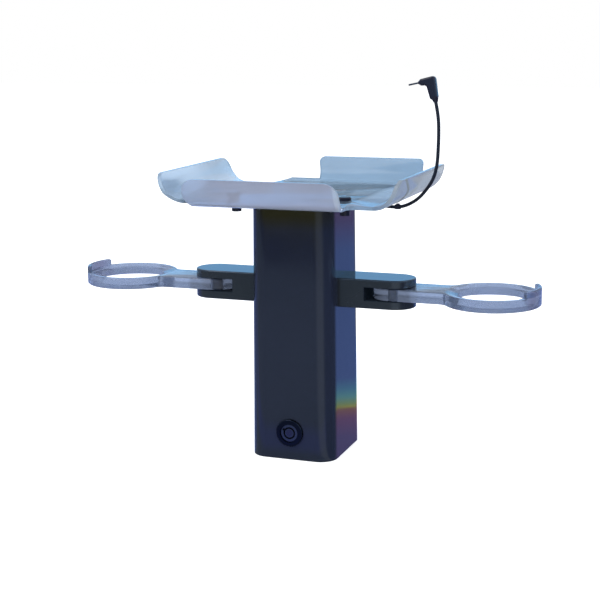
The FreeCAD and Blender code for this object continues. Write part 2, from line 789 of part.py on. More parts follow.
def board_bracket():
    """Sheet bracket under the two rear bosses, with a plate hanging behind the power board."""
    flange = box(-bracket_half_width, bracket_half_width, bracket_back - bracket_depth, bracket_back,
                 bracket_top - bracket_thickness, bracket_top)
    plate = box(-bracket_half_width + 2, bracket_half_width - 2, plate_front, bracket_back,
                bracket_top - bracket_drop, bracket_top)
    bracket = flange.fuse(plate).removeSplitter()
    for sx in (-1, 1):
        under = Vector(sx * boss_x, boss_y, bracket_top - 2 * bracket_thickness)
        bracket = bracket.cut(rod(1.1 * boss_hole, 3 * bracket_thickness, under, Z_AXIS))
    return bracket


def bracket_screws():
    """Two screws up through the bracket into the rear bosses."""
    solids = []
    for sx in (-1, 1):
        under = Vector(sx * boss_x, boss_y, bracket_top - bracket_thickness)
        head = rod(fork_screw_head, bracket_screw_head_height, under, -Z_AXIS)
        shank = rod(bracket_screw, bracket_thickness + bracket_screw_depth, under, Z_AXIS)
        solids.append(head.fuse(shank).removeSplitter())
    return Part.makeCompound(solids)


def board_standoffs():
    """Four spacers between the bracket and the power board."""
    solids = []
    for x, z in standoff_places():
        start = Vector(x, board_back, z)
        spacer = rod(standoff_diameter, standoff_length, start, Y_AXIS)
        solids.append(spacer.cut(rod(board_screw + 0.1, standoff_length, start, Y_AXIS)))
    return Part.makeCompound(solids)


def power_board():
    """Circuit board that makes the charging supply."""
    board = box(-board_half_width, board_half_width, board_front, board_back, board_bottom, board_top)
    for x, z in standoff_places():
        board = board.cut(rod(board_screw + 0.4, board_thickness, Vector(x, board_front, z), Y_AXIS))
    return board


def board_screws():
    """Four small screws through the board into its standoffs."""
    solids = []
    for x, z in standoff_places():
        start = Vector(x, board_front, z)
        head = rod(board_screw_head, board_screw_head_height, start, -Y_AXIS)
        shank = rod(board_screw, board_thickness + standoff_length - 0.5, start, Y_AXIS)
        solids.append(head.fuse(shank).removeSplitter())
    return Part.makeCompound(solids)


def output_socket():
    """Socket on the board that the charging lead is wired to."""
    return box(socket_x - socket_width / 2, socket_x + socket_width / 2, board_front - socket_depth,
               board_front, socket_top - socket_height, socket_top)


def inlet_socket():
    """Power inlet at the board's lower edge, open downwards for the supply's plug."""
    body = box(-socket_width / 2, socket_width / 2, board_front - socket_depth, board_front,
               board_bottom, board_bottom + socket_height)
    mouth = Vector(0, board_front - socket_depth / 2, board_bottom)
    body = body.cut(rod(socket_depth * 0.6, socket_height * 0.75, mouth, Z_AXIS))
    return body.fuse(rod(1.6, socket_height * 0.7, mouth + Vector(0, 0, socket_height * 0.25), Z_AXIS))


def board_components():
    """Choke and two capacitors on the board."""
    level = (board_bottom + board_top) / 2
    choke = rod(choke_diameter, choke_height, Vector(-board_half_width / 2, board_front, level), -Y_AXIS)
    choke = choke.cut(rod(choke_diameter / 3, choke_height / 2,
                          Vector(-board_half_width / 2, board_front - choke_height, level), Y_AXIS))
    cans = []
    for x in (-board_half_width / 2 - choke_diameter / 4, -choke_diameter / 4):
        base = Vector(x, board_front, level + choke_diameter + 2)
        cans.append(rod(capacitor_diameter, capacitor_height, base, -Y_AXIS))
    return Part.makeCompound([choke] + cans)


def route_wire(points):
    """Straight runs joined by tangent arcs, each as large as its two runs allow, and their radii."""
    marks = [Vector(*p) for p in points]
    edges = []
    radii = []
    start = marks[0]
    for before, corner, after in zip(marks, marks[1:], marks[2:]):
        back = (before - corner).normalize()
        ahead = (after - corner).normalize()
        turn = math.pi - back.getAngle(ahead)
        shorter = min((before - corner).Length, (after - corner).Length)
        trim = 0.45 * shorter
        radius = trim / math.tan(turn / 2)
        enter = corner + back * trim
        leave = corner + ahead * trim
        inward = (back + ahead).normalize()
        middle = corner + inward * (radius / math.cos(turn / 2) - radius)
        edges.append(Part.LineSegment(start, enter).toShape())
        edges.append(Part.Arc(enter, middle, leave).toShape())
        radii.append(radius)
        start = leave
    edges.append(Part.LineSegment(start, marks[-1]).toShape())
    return Part.Wire(edges), radii


def tube(points, diameter, label):
    """A round lead along a route, with its bend radii and its volume reported."""
    wire, radii = route_wire(points)
    heading = Vector(*points[1]) - Vector(*points[0])
    ring = Part.Wire(Part.makeCircle(diameter / 2, Vector(*points[0]), heading))
    solid = wire.makePipeShell([ring], True, False)
    expected = math.pi * diameter ** 2 / 4 * wire.Length
    print(label, "length", round(wire.Length, 2), "radii", [round(r, 1) for r in radii],
          "volume over section times length", round(solid.Volume / expected, 4))
    return solid


def cord_marks():
    """The lead's route in the stand's frame."""
    return [(side_face(gland_z) + out, y, tray_bottom + up) for out, y, up in CORD_ROUTE]


def cord_gland():
    """Moulded relief in the right wall: neck, flange and a tapered nose."""
    inner_x = side_face(gland_z) - column_wall
    outer_x = side_face(gland_z)
    nose_x = cord_marks()[0][0]
    profile = [(0, inner_x), (gland_neck / 2 - 0.05, inner_x), (gland_neck / 2 - 0.05, outer_x + 0.03),
               (gland_flange / 2, outer_x + 0.03), (gland_flange / 2, outer_x + gland_flange_thickness),
               (gland_nose_start / 2, outer_x + gland_flange_thickness), (gland_nose_end / 2, nose_x),
               (0, nose_x)]
    points = [Vector(x, gland_y, gland_z + r) for r, x in profile]
    face = Part.Face(Part.makePolygon(points + points[:1]))
    return face.revolve(Vector(0, gland_y, gland_z), X_AXIS, 360)


def inner_lead():
    """The lead's run inside the column: from the gland, down in front of the board, into the socket's top."""
    start = Vector(side_face(gland_z) - column_wall, gland_y, gland_z)
    end = Vector(socket_x, board_front - socket_depth / 2, socket_top)
    upper = [start + Vector(*bend) for bend in UPPER_BENDS]
    lower = [end + Vector(*bend) for bend in LOWER_BENDS]
    return tube([tuple(mark) for mark in [start] + upper + lower + [end]], cord_diameter, "inner lead")


def clip_run():
    """The two ends of the lead's run whose middle is nearest to the clip's place."""
    marks = [Vector(*mark) for mark in cord_marks()]
    return min(zip(marks, marks[1:]), key=lambda run: abs((run[0].x + run[1].x) / 2 - clip_x))


def cord_clip(tray_solid):
    """Small sleeve on a web under the tray's right bend, which the lead passes through."""
    low, high = clip_run()
    middle = (low + high) * 0.5
    along = (high - low).normalize()
    outer = cord_diameter / 2 + clip_wall
    sleeve = rod(2 * outer, clip_size, middle - along * (clip_size / 2), along)
    web = box(middle.x - clip_web / 2, middle.x + clip_web / 2, middle.y - outer, middle.y + outer,
              middle.z, tray_floor + bend_radius)
    hole = rod(cord_diameter + 2 * clip_gap, 4 * clip_size, middle - along * (2 * clip_size), along)
    clip = sleeve.fuse(web).removeSplitter().cut(hole).cut(tray_solid)
    lower = [s for s in clip.Solids if s.CenterOfMass.z < tray_floor]
    return max(lower, key=lambda s: s.Volume)


def plug_frame():
    """Placement of the plug: its foot on the route's end, its leg along the last run."""
    foot = Vector(*cord_marks()[-1])
    up = (foot - Vector(*cord_marks()[-2])).normalize()
    tilt = math.degrees(math.atan2(up.x, up.z))
    return FreeCAD.Placement(foot, FreeCAD.Rotation(Y_AXIS, tilt))


def plug_block():
    """The plug's leg and head as one moulding with round corners and rims."""
    half_bottom = plug_leg_bottom / 2
    half_top = plug_leg_top / 2
    half_head = plug_head_height / 2
    half_tip = plug_head_tip / 2
    level = plug_leg_length
    middle = -plug_leg_offset
    outline = [(middle - half_bottom, plug_relief_length), (middle - half_top, level - half_head),
               (-plug_head_length, level - half_tip), (-plug_head_length, level + half_tip),
               (middle + half_top, level + half_head), (middle + half_bottom, plug_relief_length)]
    marks = [Vector(x, -plug_depth / 2, z) for x, z in outline]
    block = Part.Face(Part.makePolygon(marks + marks[:1])).extrude(Vector(0, plug_depth, 0))
    across = [edge for edge in block.Edges if edge.BoundBox.YLength > plug_depth / 2]
    elbow = [edge for edge in across if edge.BoundBox.XMin > marks[5].x + 0.1]
    block = block.makeFillet(plug_elbow_round, elbow)
    others = [edge for edge in block.Edges
              if edge.BoundBox.YLength > plug_depth / 2 and edge.BoundBox.XMax < marks[5].x + 0.1]
    block = block.makeFillet(plug_corner_round, others)
    rims = [edge for edge in block.Edges if edge.BoundBox.YLength < 0.01]
    return block.makeFillet(plug_rim_round, rims)


def plug_body():
    """Right-angle plug moulding: the block, a tapered relief round the lead and a short nose."""
    relief = Part.makeCone(plug_relief_foot / 2, plug_relief_top / 2, 1.2 * plug_relief_length)
    nose_start = Vector(-plug_head_length + 0.5, 0, plug_leg_length)
    nose = Part.makeCone(plug_head_tip / 2 - 0.4, plug_nose_end / 2, plug_nose_length + 0.5, nose_start,
                         -X_AXIS)
    body = plug_block().fuse(relief).fuse(nose).removeSplitter()
    body.Placement = plug_frame()
    return body


def plug_barrel():
    """The plug's hollow metal pin."""
    start = Vector(-plug_head_length - plug_nose_length, 0, plug_leg_length)
    pin = rod(barrel_diameter, barrel_length, start, -X_AXIS)
    end = start - X_AXIS * barrel_length
    rims = [e for e in pin.Edges if abs(e.BoundBox.XMax - end.x) < 0.01]
    pin = pin.makeChamfer(0.2, rims)
    pin = pin.cut(rod(barrel_bore, barrel_bore_depth, end, X_AXIS))
    pin.Placement = plug_frame()
    return pin


def build():
    """Every piece of the stand by its node name."""
    tray_solid = tray()
    right_fork = fork()
    right_screws = fork_screws()
    right_pivot = pivot_screw()
    right_washers = thrust_washers()
    right_arm = arm()
    pieces = {
        "column_shell": column_shell(),
        "base_plate": base_plate(),
        "tray": tray_solid,
        "tray_screws": tray_screws(),
        "left_bumper": bumper(-1),
        "right_bumper": bumper(1),
        "bumper_nuts": bumper_nuts(),
        "right_fork": right_fork,
        "left_fork": mirrored(right_fork),
        "right_fork_screws": right_screws,
        "left_fork_screws": mirrored(right_screws),
        "right_pivot_screw": right_pivot,
        "left_pivot_screw": mirrored(right_pivot),
        "right_thrust_washers": right_washers,
        "left_thrust_washers": mirrored(right_washers),
        "right_arm": right_arm,
        "left_arm": mirrored(right_arm),
        "lock_barrel": lock_barrel(),
        "lock_nut": lock_nut(),
        "lock_plug": lock_plug(),
        "lock_cam": lock_cam(),
        "cam_screw": cam_screw_solid(),
        "board_bracket": board_bracket(),
        "bracket_screws": bracket_screws(),
        "board_standoffs": board_standoffs(),
        "power_board": power_board(),
        "board_screws": board_screws(),
        "output_socket": output_socket(),
        "inlet_socket": inlet_socket(),
        "board_components": board_components(),
        "inner_lead": inner_lead(),
        "cord_gland": cord_gland(),
        "cord_clip": cord_clip(tray_solid),
        "charge_cord": tube(cord_marks(), cord_diameter, "charging lead"),
        "plug_body": plug_body(),
        "plug_barrel": plug_barrel(),
    }
    return pieces


os.makedirs("parts", exist_ok=True)
for node, shape in build().items():
    if not shape.isValid():
        print("not valid", node)
    print(node, len(shape.Solids), "solids, volume", round(shape.Volume, 1))
    shape.exportStep("parts/" + node + ".step")
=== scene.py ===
import logging
import math
from dataclasses import dataclass
from enum import Enum

import bmesh
import bpy
from mathutils import Matrix, Vector


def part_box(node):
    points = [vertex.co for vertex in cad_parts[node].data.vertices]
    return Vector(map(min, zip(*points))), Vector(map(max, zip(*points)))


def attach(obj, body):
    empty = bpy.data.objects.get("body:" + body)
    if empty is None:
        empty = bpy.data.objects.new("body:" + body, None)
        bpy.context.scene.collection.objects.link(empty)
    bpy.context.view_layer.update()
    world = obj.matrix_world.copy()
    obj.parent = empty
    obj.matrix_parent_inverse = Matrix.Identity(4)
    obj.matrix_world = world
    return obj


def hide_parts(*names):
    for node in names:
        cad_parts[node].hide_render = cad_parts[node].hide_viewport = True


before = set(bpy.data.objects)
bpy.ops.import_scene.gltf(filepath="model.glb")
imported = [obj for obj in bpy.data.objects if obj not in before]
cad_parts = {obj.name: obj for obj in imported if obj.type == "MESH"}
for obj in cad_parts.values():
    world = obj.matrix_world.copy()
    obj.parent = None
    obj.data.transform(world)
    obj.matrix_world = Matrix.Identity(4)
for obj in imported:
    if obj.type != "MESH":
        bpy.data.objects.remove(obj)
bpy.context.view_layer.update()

LOG = logging.getLogger("stand")
MM = 0.001
# Points nearer than this, in metres, count as one
WELD = 1e-6
# Faces that meet at less than this, in radians, count as one flat
FLAT_ANGLE = 0.003
# Edges sharper than this, in degrees, are shaded hard
SMOOTH_ANGLE = 40.0
# The right ring's middle from above, in metres
RING_CENTRE = (0.1523, -0.0032)
# The height of the clip's black sleeve, in metres; the web above it is nearly clear
CLIP_SLEEVE = 0.0044
# Where most of a noise's values lie
MOST = (0.3, 0.7)
# Input and output places of a colour Mix node
MIX_FIRST, MIX_SECOND, MIX_RESULT = 6, 7, 2

Triple = tuple[float, float, float]
Colour = Triple
Range = tuple[float, float]


class Body(Enum):
    """The stand's rigid bodies, by name."""

    STAND = "stand"
    RIGHT = "right_holder"
    LEFT = "left_holder"
    LOCK = "lock_core"


class Sock:
    """A shader socket that can be used in Python sums and products."""

    def __init__(self, graph: "Graph", socket: bpy.types.NodeSocket) -> None:
        """Keeps the graph and its socket."""
        self.graph = graph
        self.socket = socket

    def _with(self, operation: str, first: "Sock | float", second: "Sock | float") -> "Sock":
        """A Math node of two values."""
        made = self.graph.node("ShaderNodeMath", {"operation": operation}, {0: first, 1: second})
        return Sock(self.graph, made.outputs[0])

    def __add__(self, other: "Sock | float") -> "Sock":
        """Sum."""
        return self._with("ADD", self, other)

    def __sub__(self, other: "Sock | float") -> "Sock":
        """Difference."""
        return self._with("SUBTRACT", self, other)

    def __rsub__(self, other: "Sock | float") -> "Sock":
        """Difference from a number."""
        return self._with("SUBTRACT", other, self)

    def __mul__(self, other: "Sock | float") -> "Sock":
        """Product."""
        return self._with("MULTIPLY", self, other)

    def __truediv__(self, other: "Sock | float") -> "Sock":
        """Quotient."""
        return self._with("DIVIDE", self, other)

    def __pow__(self, other: "Sock | float") -> "Sock":
        """Power."""
        return self._with("POWER", self, other)


class Graph:
    """A material's node tree, built from plain calls."""

    def __init__(self, name: str) -> None:
        """Starts an empty material.

        Args:
            name: the material's name.
        """
        self.material = bpy.data.materials.new(name)
        self.material.use_nodes = True
        self.tree = self.material.node_tree
        self.tree.nodes.clear()

    def node(self, kind: str, settings: dict | None = None, inputs: dict | None = None) -> bpy.types.Node:
        """Adds a node.

        Args:
            kind: the node's type.
            settings: attributes set first; "stops" fills a colour ramp with (place, colour).
            inputs: values or links by socket name or index.

        Returns:
            The new node.
        """
        made = self.tree.nodes.new(kind)
        for name, value in (settings or {}).items():
            if name == "stops":
                self._fill_ramp(made.color_ramp, value)
            else:
                setattr(made, name, value)
        for key, value in (inputs or {}).items():
            self.feed(made.inputs[key], value)
        return made

    @staticmethod
    def _fill_ramp(ramp: bpy.types.ColorRamp, stops: list) -> None:
        """Gives a ramp its stops."""
        while len(ramp.elements) < len(stops):
            ramp.elements.new(1.0)
        for element, (place, colour) in zip(ramp.elements, stops):
            element.position = place
            element.color = (*colour, 1.0)

    def feed(self, socket: bpy.types.NodeSocket, value: object) -> None:
        """Links a wrapped socket, or sets a plain value."""
        if isinstance(value, Sock):
            self.tree.links.new(value.socket, socket)
        elif socket.type == "RGBA" and len(value) == 3:
            socket.default_value = (*value, 1.0)
        else:
            socket.default_value = value

    def place(self) -> Sock:
        """Object coordinates."""
        return Sock(self, self.node("ShaderNodeTexCoord").outputs["Object"])

    def axis(self, name: str) -> Sock:
        """One Object coordinate, in metres."""
        return Sock(self, self.node("ShaderNodeSeparateXYZ", None, {0: self.place()}).outputs[name])

    def noise(self, scale: float, detail: float = 3.0, stretch: Triple = (1.0, 1.0, 1.0)) -> Sock:
        """Noise of 0 to 1 over the piece.

        Args:
            scale: grains per metre.
            detail: octaves.
            stretch: factor along each axis.

        Returns:
            The noise's value.
        """
        mapped = self.node("ShaderNodeMapping", None, {"Vector": self.place(), "Scale": stretch})
        made = self.node("ShaderNodeTexNoise", None,
                         {"Vector": Sock(self, mapped.outputs[0]), "Scale": scale, "Detail": detail})
        return Sock(self, made.outputs[0])

    def span(self, value: Sock, low: float, high: float, start: float = 0.0, end: float = 1.0) -> Sock:
        """Maps low..high to start..end, held at the ends, with soft shoulders."""
        made = self.node("ShaderNodeMapRange", {"interpolation_type": "SMOOTHSTEP"},
                         {"Value": value, "From Min": low, "From Max": high, "To Min": start, "To Max": end})
        return Sock(self, made.outputs[0])

    def out(self, made: bpy.types.Node) -> Sock:
        """A node's first output."""
        return Sock(self, made.outputs[0])

    def blend(self, factor: Sock | float, first: object, second: object, mode: str = "MIX") -> Sock:
        """Mixes two colours."""
        made = self.node("ShaderNodeMix", {"data_type": "RGBA", "blend_type": mode},
                         {0: factor, MIX_FIRST: first, MIX_SECOND: second})
        return Sock(self, made.outputs[MIX_RESULT])

    def all_of(self, masks: list[Sock]) -> Sock:
        """The product of several masks."""
        made = masks[0]
        for mask in masks[1:]:
            made = made * mask
        return made

    def grey(self, value: Sock) -> Sock:
        """A grey of the given brightness."""
        return self.out(self.node("ShaderNodeCombineColor", None, {0: value, 1: value, 2: value}))

    def ramp(self, value: Sock, stops: list) -> Sock:
        """A colour ramp over a value."""
        return self.out(self.node("ShaderNodeValToRGB", {"stops": stops}, {0: value}))

    def bump(self, height: Sock, depth: float) -> Sock:
        """A normal from a height of 0 to 1 that is depth metres deep."""
        return self.out(self.node("ShaderNodeBump", None,
                                  {"Height": height, "Distance": depth, "Strength": 1.0}))

    def close(self, inputs: dict) -> bpy.types.Material:
        """Ends the tree in a Principled shader.

        Args:
            inputs: the shader's values or links.

        Returns:
            The material.
        """
        shader = self.node("ShaderNodeBsdfPrincipled", None, inputs)
        out = self.node("ShaderNodeOutputMaterial")
        self.tree.links.new(shader.outputs[0], out.inputs[0])
        return self.material


class GeoTree:
    """A Geometry Nodes tree with named inputs, which makes one plain mesh."""

    def __init__(self, name: str) -> None:
        """Starts a tree with its input and output nodes.

        Args:
            name: the tree's name.
        """
        self.name = name
        self.tree = bpy.data.node_groups.new(name, "GeometryNodeTree")
        self.tree.interface.new_socket("Geometry", in_out="OUTPUT", socket_type="NodeSocketGeometry")
        self.inside = self.tree.nodes.new("NodeGroupInput")
        self.values: dict[str, float] = {}

    def size(self, name: str, value: float) -> bpy.types.NodeSocket:
        """Adds a named length and gives the socket that carries it."""
        item = self.tree.interface.new_socket(name, in_out="INPUT", socket_type="NodeSocketFloat")
        self.values[item.identifier] = value
        return self.inside.outputs[name]

    def count(self, name: str, value: int) -> bpy.types.NodeSocket:
        """Adds a named whole number and gives the socket that carries it."""
        item = self.tree.interface.new_socket(name, in_out="INPUT", socket_type="NodeSocketInt")
        self.values[item.identifier] = value
        return self.inside.outputs[name]

    def node(self, kind: str, settings: dict | None = None, inputs: dict | None = None,
             output: int | str = 0) -> bpy.types.NodeSocket:
        """Adds a node.

        Args:
            kind: the node's type.
            settings: attributes set first.
            inputs: sockets, lists of sockets or plain values by socket name or index.
            output: which output to give back.

        Returns:
            The chosen output socket.
        """
        made = self.tree.nodes.new(kind)
        for name, value in (settings or {}).items():
            setattr(made, name, value)
        for key, value in (inputs or {}).items():
            for one in value if isinstance(value, list) else [value]:
                if isinstance(one, bpy.types.NodeSocket):
                    self.tree.links.new(one, made.inputs[key])
                else:
                    made.inputs[key].default_value = one
        return made.outputs[output]

    def maths(self, operation: str, first: object, second: object = 0.0) -> bpy.types.NodeSocket:
        """A Math node."""
        return self.node("ShaderNodeMath", {"operation": operation}, {0: first, 1: second})

    def point(self, x: object = 0.0, y: object = 0.0, z: object = 0.0) -> bpy.types.NodeSocket:
        """A vector from three lengths."""
        return self.node("ShaderNodeCombineXYZ", None, {0: x, 1: y, 2: z})

    def moved(self, shape: bpy.types.NodeSocket, shift: object, turn: object = (0.0, 0.0, 0.0)) -> object:
        """The shape turned and then moved."""
        return self.node("GeometryNodeTransform", None,
                         {"Geometry": shape, "Translation": shift, "Rotation": turn})

    def united(self, shapes: list) -> bpy.types.NodeSocket:
        """Several closed shapes as one closed shape."""
        return self.node("GeometryNodeMeshBoolean", {"operation": "UNION", "solver": "EXACT"},
                         {"Mesh 2": shapes}, "Mesh")

    def cut(self, shape: bpy.types.NodeSocket, tool: bpy.types.NodeSocket) -> bpy.types.NodeSocket:
        """A closed shape without what a second one fills."""
        return self.node("GeometryNodeMeshBoolean", {"operation": "DIFFERENCE", "solver": "EXACT"},
                         {"Mesh 1": shape, "Mesh 2": [tool]}, "Mesh")

    def drum(self, radius: object, depth: object, sides: int = 48) -> bpy.types.NodeSocket:
        """An upright cylinder about the origin."""
        return self.node("GeometryNodeMeshCylinder", None,
                         {"Vertices": sides, "Radius": radius, "Depth": depth}, "Mesh")

    def cone(self, top: object, bottom: object, depth: object, sides: int = 48) -> bpy.types.NodeSocket:
        """An upright cone that stands on the origin."""
        return self.node("GeometryNodeMeshCone", None, {"Vertices": sides, "Radius Top": top,
                                                        "Radius Bottom": bottom, "Depth": depth}, "Mesh")

    def mesh(self, shape: bpy.types.NodeSocket, material: bpy.types.Material) -> bpy.types.Object:
        """Ends the tree and makes its result a plain mesh object.

        Args:
            shape: what the tree gives.
            material: the finish of every face.

        Returns:
            The object, at the origin and with no modifier.
        """
        real = self.node("GeometryNodeRealizeInstances", None, {"Geometry": shape})
        tidy = self.node("GeometryNodeMergeByDistance", None, {"Geometry": real, "Distance": 2 * WELD})
        painted = self.node("GeometryNodeSetMaterial", None, {"Geometry": tidy, "Material": material})
        out = self.tree.nodes.new("NodeGroupOutput")
        self.tree.links.new(painted, out.inputs["Geometry"])
        holder = bpy.data.objects.new(self.name, bpy.data.meshes.new(self.name + "_blank"))
        bpy.context.scene.collection.objects.link(holder)
        modifier = holder.modifiers.new("made", "NODES")
        modifier.node_group = self.tree
        for identifier, value in self.values.items():
            modifier[identifier] = value
        graph = bpy.context.evaluated_depsgraph_get()
        made = bpy.data.meshes.new_from_object(holder.evaluated_get(graph), depsgraph=graph)
        made.name = self.name
        for face in made.polygons:
            face.use_smooth = True
        made.set_sharp_from_angle(angle=math.radians(SMOOTH_ANGLE))
        holder.modifiers.remove(modifier)
        holder.data = made
        return holder


def softened(node: str, name: str, width: float, sharp: float,
             material: bpy.types.Material) -> bpy.types.Object:
    """A copy of a CAD node with its sharp edges rounded, which stands for the node.

    Args:
        node: the CAD node.
        name: the new piece's name.
        width: how wide the rounding is, in metres.
        sharp: the least angle between faces that is rounded, in degrees.
        material: its finish.

    Returns:
        The new piece.
    """
    work = bmesh.new()
    work.from_mesh(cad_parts[node].data)
    bmesh.ops.remove_doubles(work, verts=work.verts, dist=WELD)
    bmesh.ops.dissolve_limit(work, angle_limit=FLAT_ANGLE, verts=work.verts, edges=work.edges)
    edges = [edge for edge in work.edges
             if len(edge.link_faces) == 2 and edge.calc_face_angle(0.0) > math.radians(sharp)]
    bmesh.ops.bevel(work, geom=edges, offset=width, segments=3, profile=0.5, affect="EDGES",
                    clamp_overlap=True)
    bmesh.ops.dissolve_degenerate(work, dist=WELD, edges=work.edges)
    bmesh.ops.triangulate(work, faces=work.faces)
    for face in work.faces:
        face.smooth = True
    mesh = bpy.data.meshes.new(name)
    work.to_mesh(mesh)
    work.free()
    mesh.set_sharp_from_angle(angle=math.radians(SMOOTH_ANGLE))
    mesh.materials.append(material)
    piece = bpy.data.objects.new(name, mesh)
    bpy.context.scene.collection.objects.link(piece)
    LOG.info("softened %s, %d faces", node, len(mesh.polygons))
    return piece


@dataclass(frozen=True)
class Band:
    """A stretch along one axis, with soft borders; both signs of the axis when mirrored.

    With a centre, the stretch is of distances from an upright line through it, on both sides of the stand.
    """

    axis: str
    low: float
    high: float
    soft: float
    mirrored: bool = False
    centre: tuple[float, float] | None = None

    def mask(self, graph: Graph) -> Sock:
        """One inside the stretch, zero outside."""
        place = graph.axis(self.axis)
        if self.mirrored or self.centre:
            place = (place * place) ** 0.5
        if self.centre:
            across, along = place - self.centre[0], graph.axis("Y") - self.centre[1]
            place = (across * across + along * along) ** 0.5
        rise = graph.span(place, self.low - self.soft, self.low + self.soft)
        return rise * (1.0 - graph.span(place, self.high - self.soft, self.high + self.soft))


@dataclass(frozen=True)
class Plastic:
    """Moulded plastic or rubber with a fine grain, whose shade and gloss vary a little over the piece.

    With clear_above, what is above that height is nearly clear.
    """

    name: str
    colour: Colour
    roughness: float = 0.3
    spread: float = 0.08
    specular: float = 0.5
    clear_above: float | None = None
    clear_soft: float = 0.0003
    clearness: float = 0.85
    variation: float = 0.12
    least_roughness: float = 0.02
    patch_scale: float = 22.0
    grain_scale: float = 1800.0
    grain_depth: float = 0.00002

    def material(self) -> bpy.types.Material:
        """Builds the material."""
        graph = Graph(self.name)
        patches = graph.noise(self.patch_scale, detail=4.0)
        grain = graph.noise(self.grain_scale, detail=2.0)
        dark = tuple(c * (1 - self.variation) for c in self.colour)
        light = tuple(min(1.0, c * (1 + self.variation)) for c in self.colour)
        smooth = max(self.least_roughness, self.roughness - self.spread / 2)
        solid: Sock | float = 1.0
        if self.clear_above:
            above = graph.span(graph.axis("Z"), self.clear_above - self.clear_soft,
                               self.clear_above + self.clear_soft)
            solid = 1.0 - above * self.clearness
        return graph.close({
            "Alpha": solid,
            "Base Color": graph.blend(patches, dark, light),
            "Roughness": graph.span(patches, *MOST, smooth, self.roughness + self.spread / 2),
            "Specular IOR Level": self.specular,
            "Normal": graph.bump(grain, self.grain_depth),
        })


@dataclass(frozen=True)
class Gloss:
    """Polished navy-black moulding with fine flow marks, faint clouds and dust.

    Its colour turns to the painted shade's between two heights, for the shadow cast from above. What is
    inside all the pocket's bands is black and matt: painted shade in the recess.
    """

    name: str
    colour: Colour
    # Painted shade: the colour that stands for the shadow cast from above
    shade: Colour
    painted_shade_span: Range = (0.145, 0.198)
    roughness: float = 0.05
    specular: float = 0.5
    cast: Colour = (0.62, 0.78, 1.0)
    stretch: Triple = (1.0, 1.0, 0.12)
    # Painted shade: what is inside all these bands is black and matt
    pocket: tuple[Band, ...] = ()
    pocket_painted_shade: Colour = (0.002, 0.002, 0.003)
    flow_scale: float = 30.0
    flow_span: Range = (0.25, 0.75)
    flow_roughness: float = 0.06
    flow_depth: float = 0.00008
    cloud_scale: float = 14.0
    cloud_share: float = 0.25
    cloud_dark: float = 0.6
    dust_scale: float = 900.0
    dust_span: Range = (0.68, 0.8)
    dust_share: float = 0.03
    dust_tint: Colour = (0.3, 0.33, 0.38)
    dust_roughness: float = 0.06

    def material(self) -> bpy.types.Material:
        """Builds the material."""
        graph = Graph(self.name)
        flow = graph.noise(self.flow_scale, 3.0, self.stretch)
        cloud = graph.span(graph.noise(self.cloud_scale, detail=2.0), *MOST)
        dust = graph.span(graph.noise(self.dust_scale, detail=2.0), *self.dust_span)
        tone = graph.blend(graph.span(graph.axis("Z"), *self.painted_shade_span), self.colour, self.shade)
        tone = graph.blend(cloud * self.cloud_share, tone, tuple(self.cloud_dark * c for c in self.colour))
        tone = graph.blend(dust * self.dust_share, tone, self.dust_tint)
        rough = graph.span(flow, *self.flow_span, self.roughness, self.roughness + self.flow_roughness)
        rough = rough + dust * self.dust_roughness
        # Painted shade in the pocket: near black and fully rough
        if self.pocket:
            inside = graph.all_of([band.mask(graph) for band in self.pocket])
            tone = graph.blend(inside, tone, self.pocket_painted_shade)
            rough = rough + inside * (1.0 - rough)
        return graph.close({
            "Base Color": tone,
            "Roughness": rough,
            "Specular IOR Level": self.specular,
            "Specular Tint": (*self.cast, 1.0),
            "Normal": graph.bump(flow, self.flow_depth),
        })


@dataclass(frozen=True)
class PaintedLightZone:
    """A tint of painted light and reflection that comes in along an axis, from none at start to full at end.

    An end below its start makes it come in towards the axis's negative side.
    """

    axis: str
    start: float
    end: float
    tint: Colour


@dataclass(frozen=True)
class LightAndShadeStripe:
    """A tint of painted light and shade, and its share, for what is inside all its bands."""

    tint: Colour
    share: float
    bands: tuple[Band, ...]


@dataclass(frozen=True)
class ClearSheet:
    """Clear acrylic with a little haze, faint clouds and fine handling scratches.

    Each zone and then each stripe tints it with painted light, shade and reflection; cast tints what it
    reflects.
    """

    name: str
    tint: Colour
    roughness: float
    transmission: float
    index: float
    painted_light_zones: tuple[PaintedLightZone, ...] = ()
    light_and_shade_stripes: tuple[LightAndShadeStripe, ...] = ()
    cast: Colour = (1.0, 1.0, 1.0)
    haze: float = 0.04
    cloud_scale: float = 16.0
    cloud_dark: float = 0.9
    scratch_scale: float = 420.0
    scratch_stretch: Triple = (1.0, 0.08, 1.0)
    scratch_span: Range = (0.62, 0.78)
    scratch_roughness: float = 0.04
    grain_scale: float = 2500.0
    grain_depth: float = 0.000003

    def material(self) -> bpy.types.Material:
        """Builds the material."""
        graph = Graph(self.name)
        cloud = graph.noise(self.cloud_scale, detail=3.0)
        scratch = graph.span(graph.noise(self.scratch_scale, 3.0, self.scratch_stretch), *self.scratch_span)
        grain = graph.noise(self.grain_scale, detail=2.0)
        tone: object = self.tint
        # Painted light, shade and reflection: each zone and then each stripe tints the sheet
        for zone in self.painted_light_zones:
            place = graph.axis(zone.axis)
            if zone.end < zone.start:
                place = 0.0 - place
            tone = graph.blend(graph.span(place, abs(zone.start), abs(zone.end)), tone, zone.tint)
        for stripe in self.light_and_shade_stripes:
            inside = graph.all_of([band.mask(graph) for band in stripe.bands])
            tone = graph.blend(inside * stripe.share, tone, stripe.tint)
        rough = graph.span(cloud, *MOST, self.roughness, self.roughness + self.haze)
        cloudy = graph.grey(graph.span(cloud, *MOST, self.cloud_dark, 1.0))
        return graph.close({
            "Base Color": graph.blend(1.0, tone, cloudy, "MULTIPLY"),
            "Roughness": rough + scratch * self.scratch_roughness,
            "Transmission Weight": self.transmission,
            "IOR": self.index,
            "Specular Tint": (*self.cast, 1.0),
            "Normal": graph.bump(grain, self.grain_depth),
        })


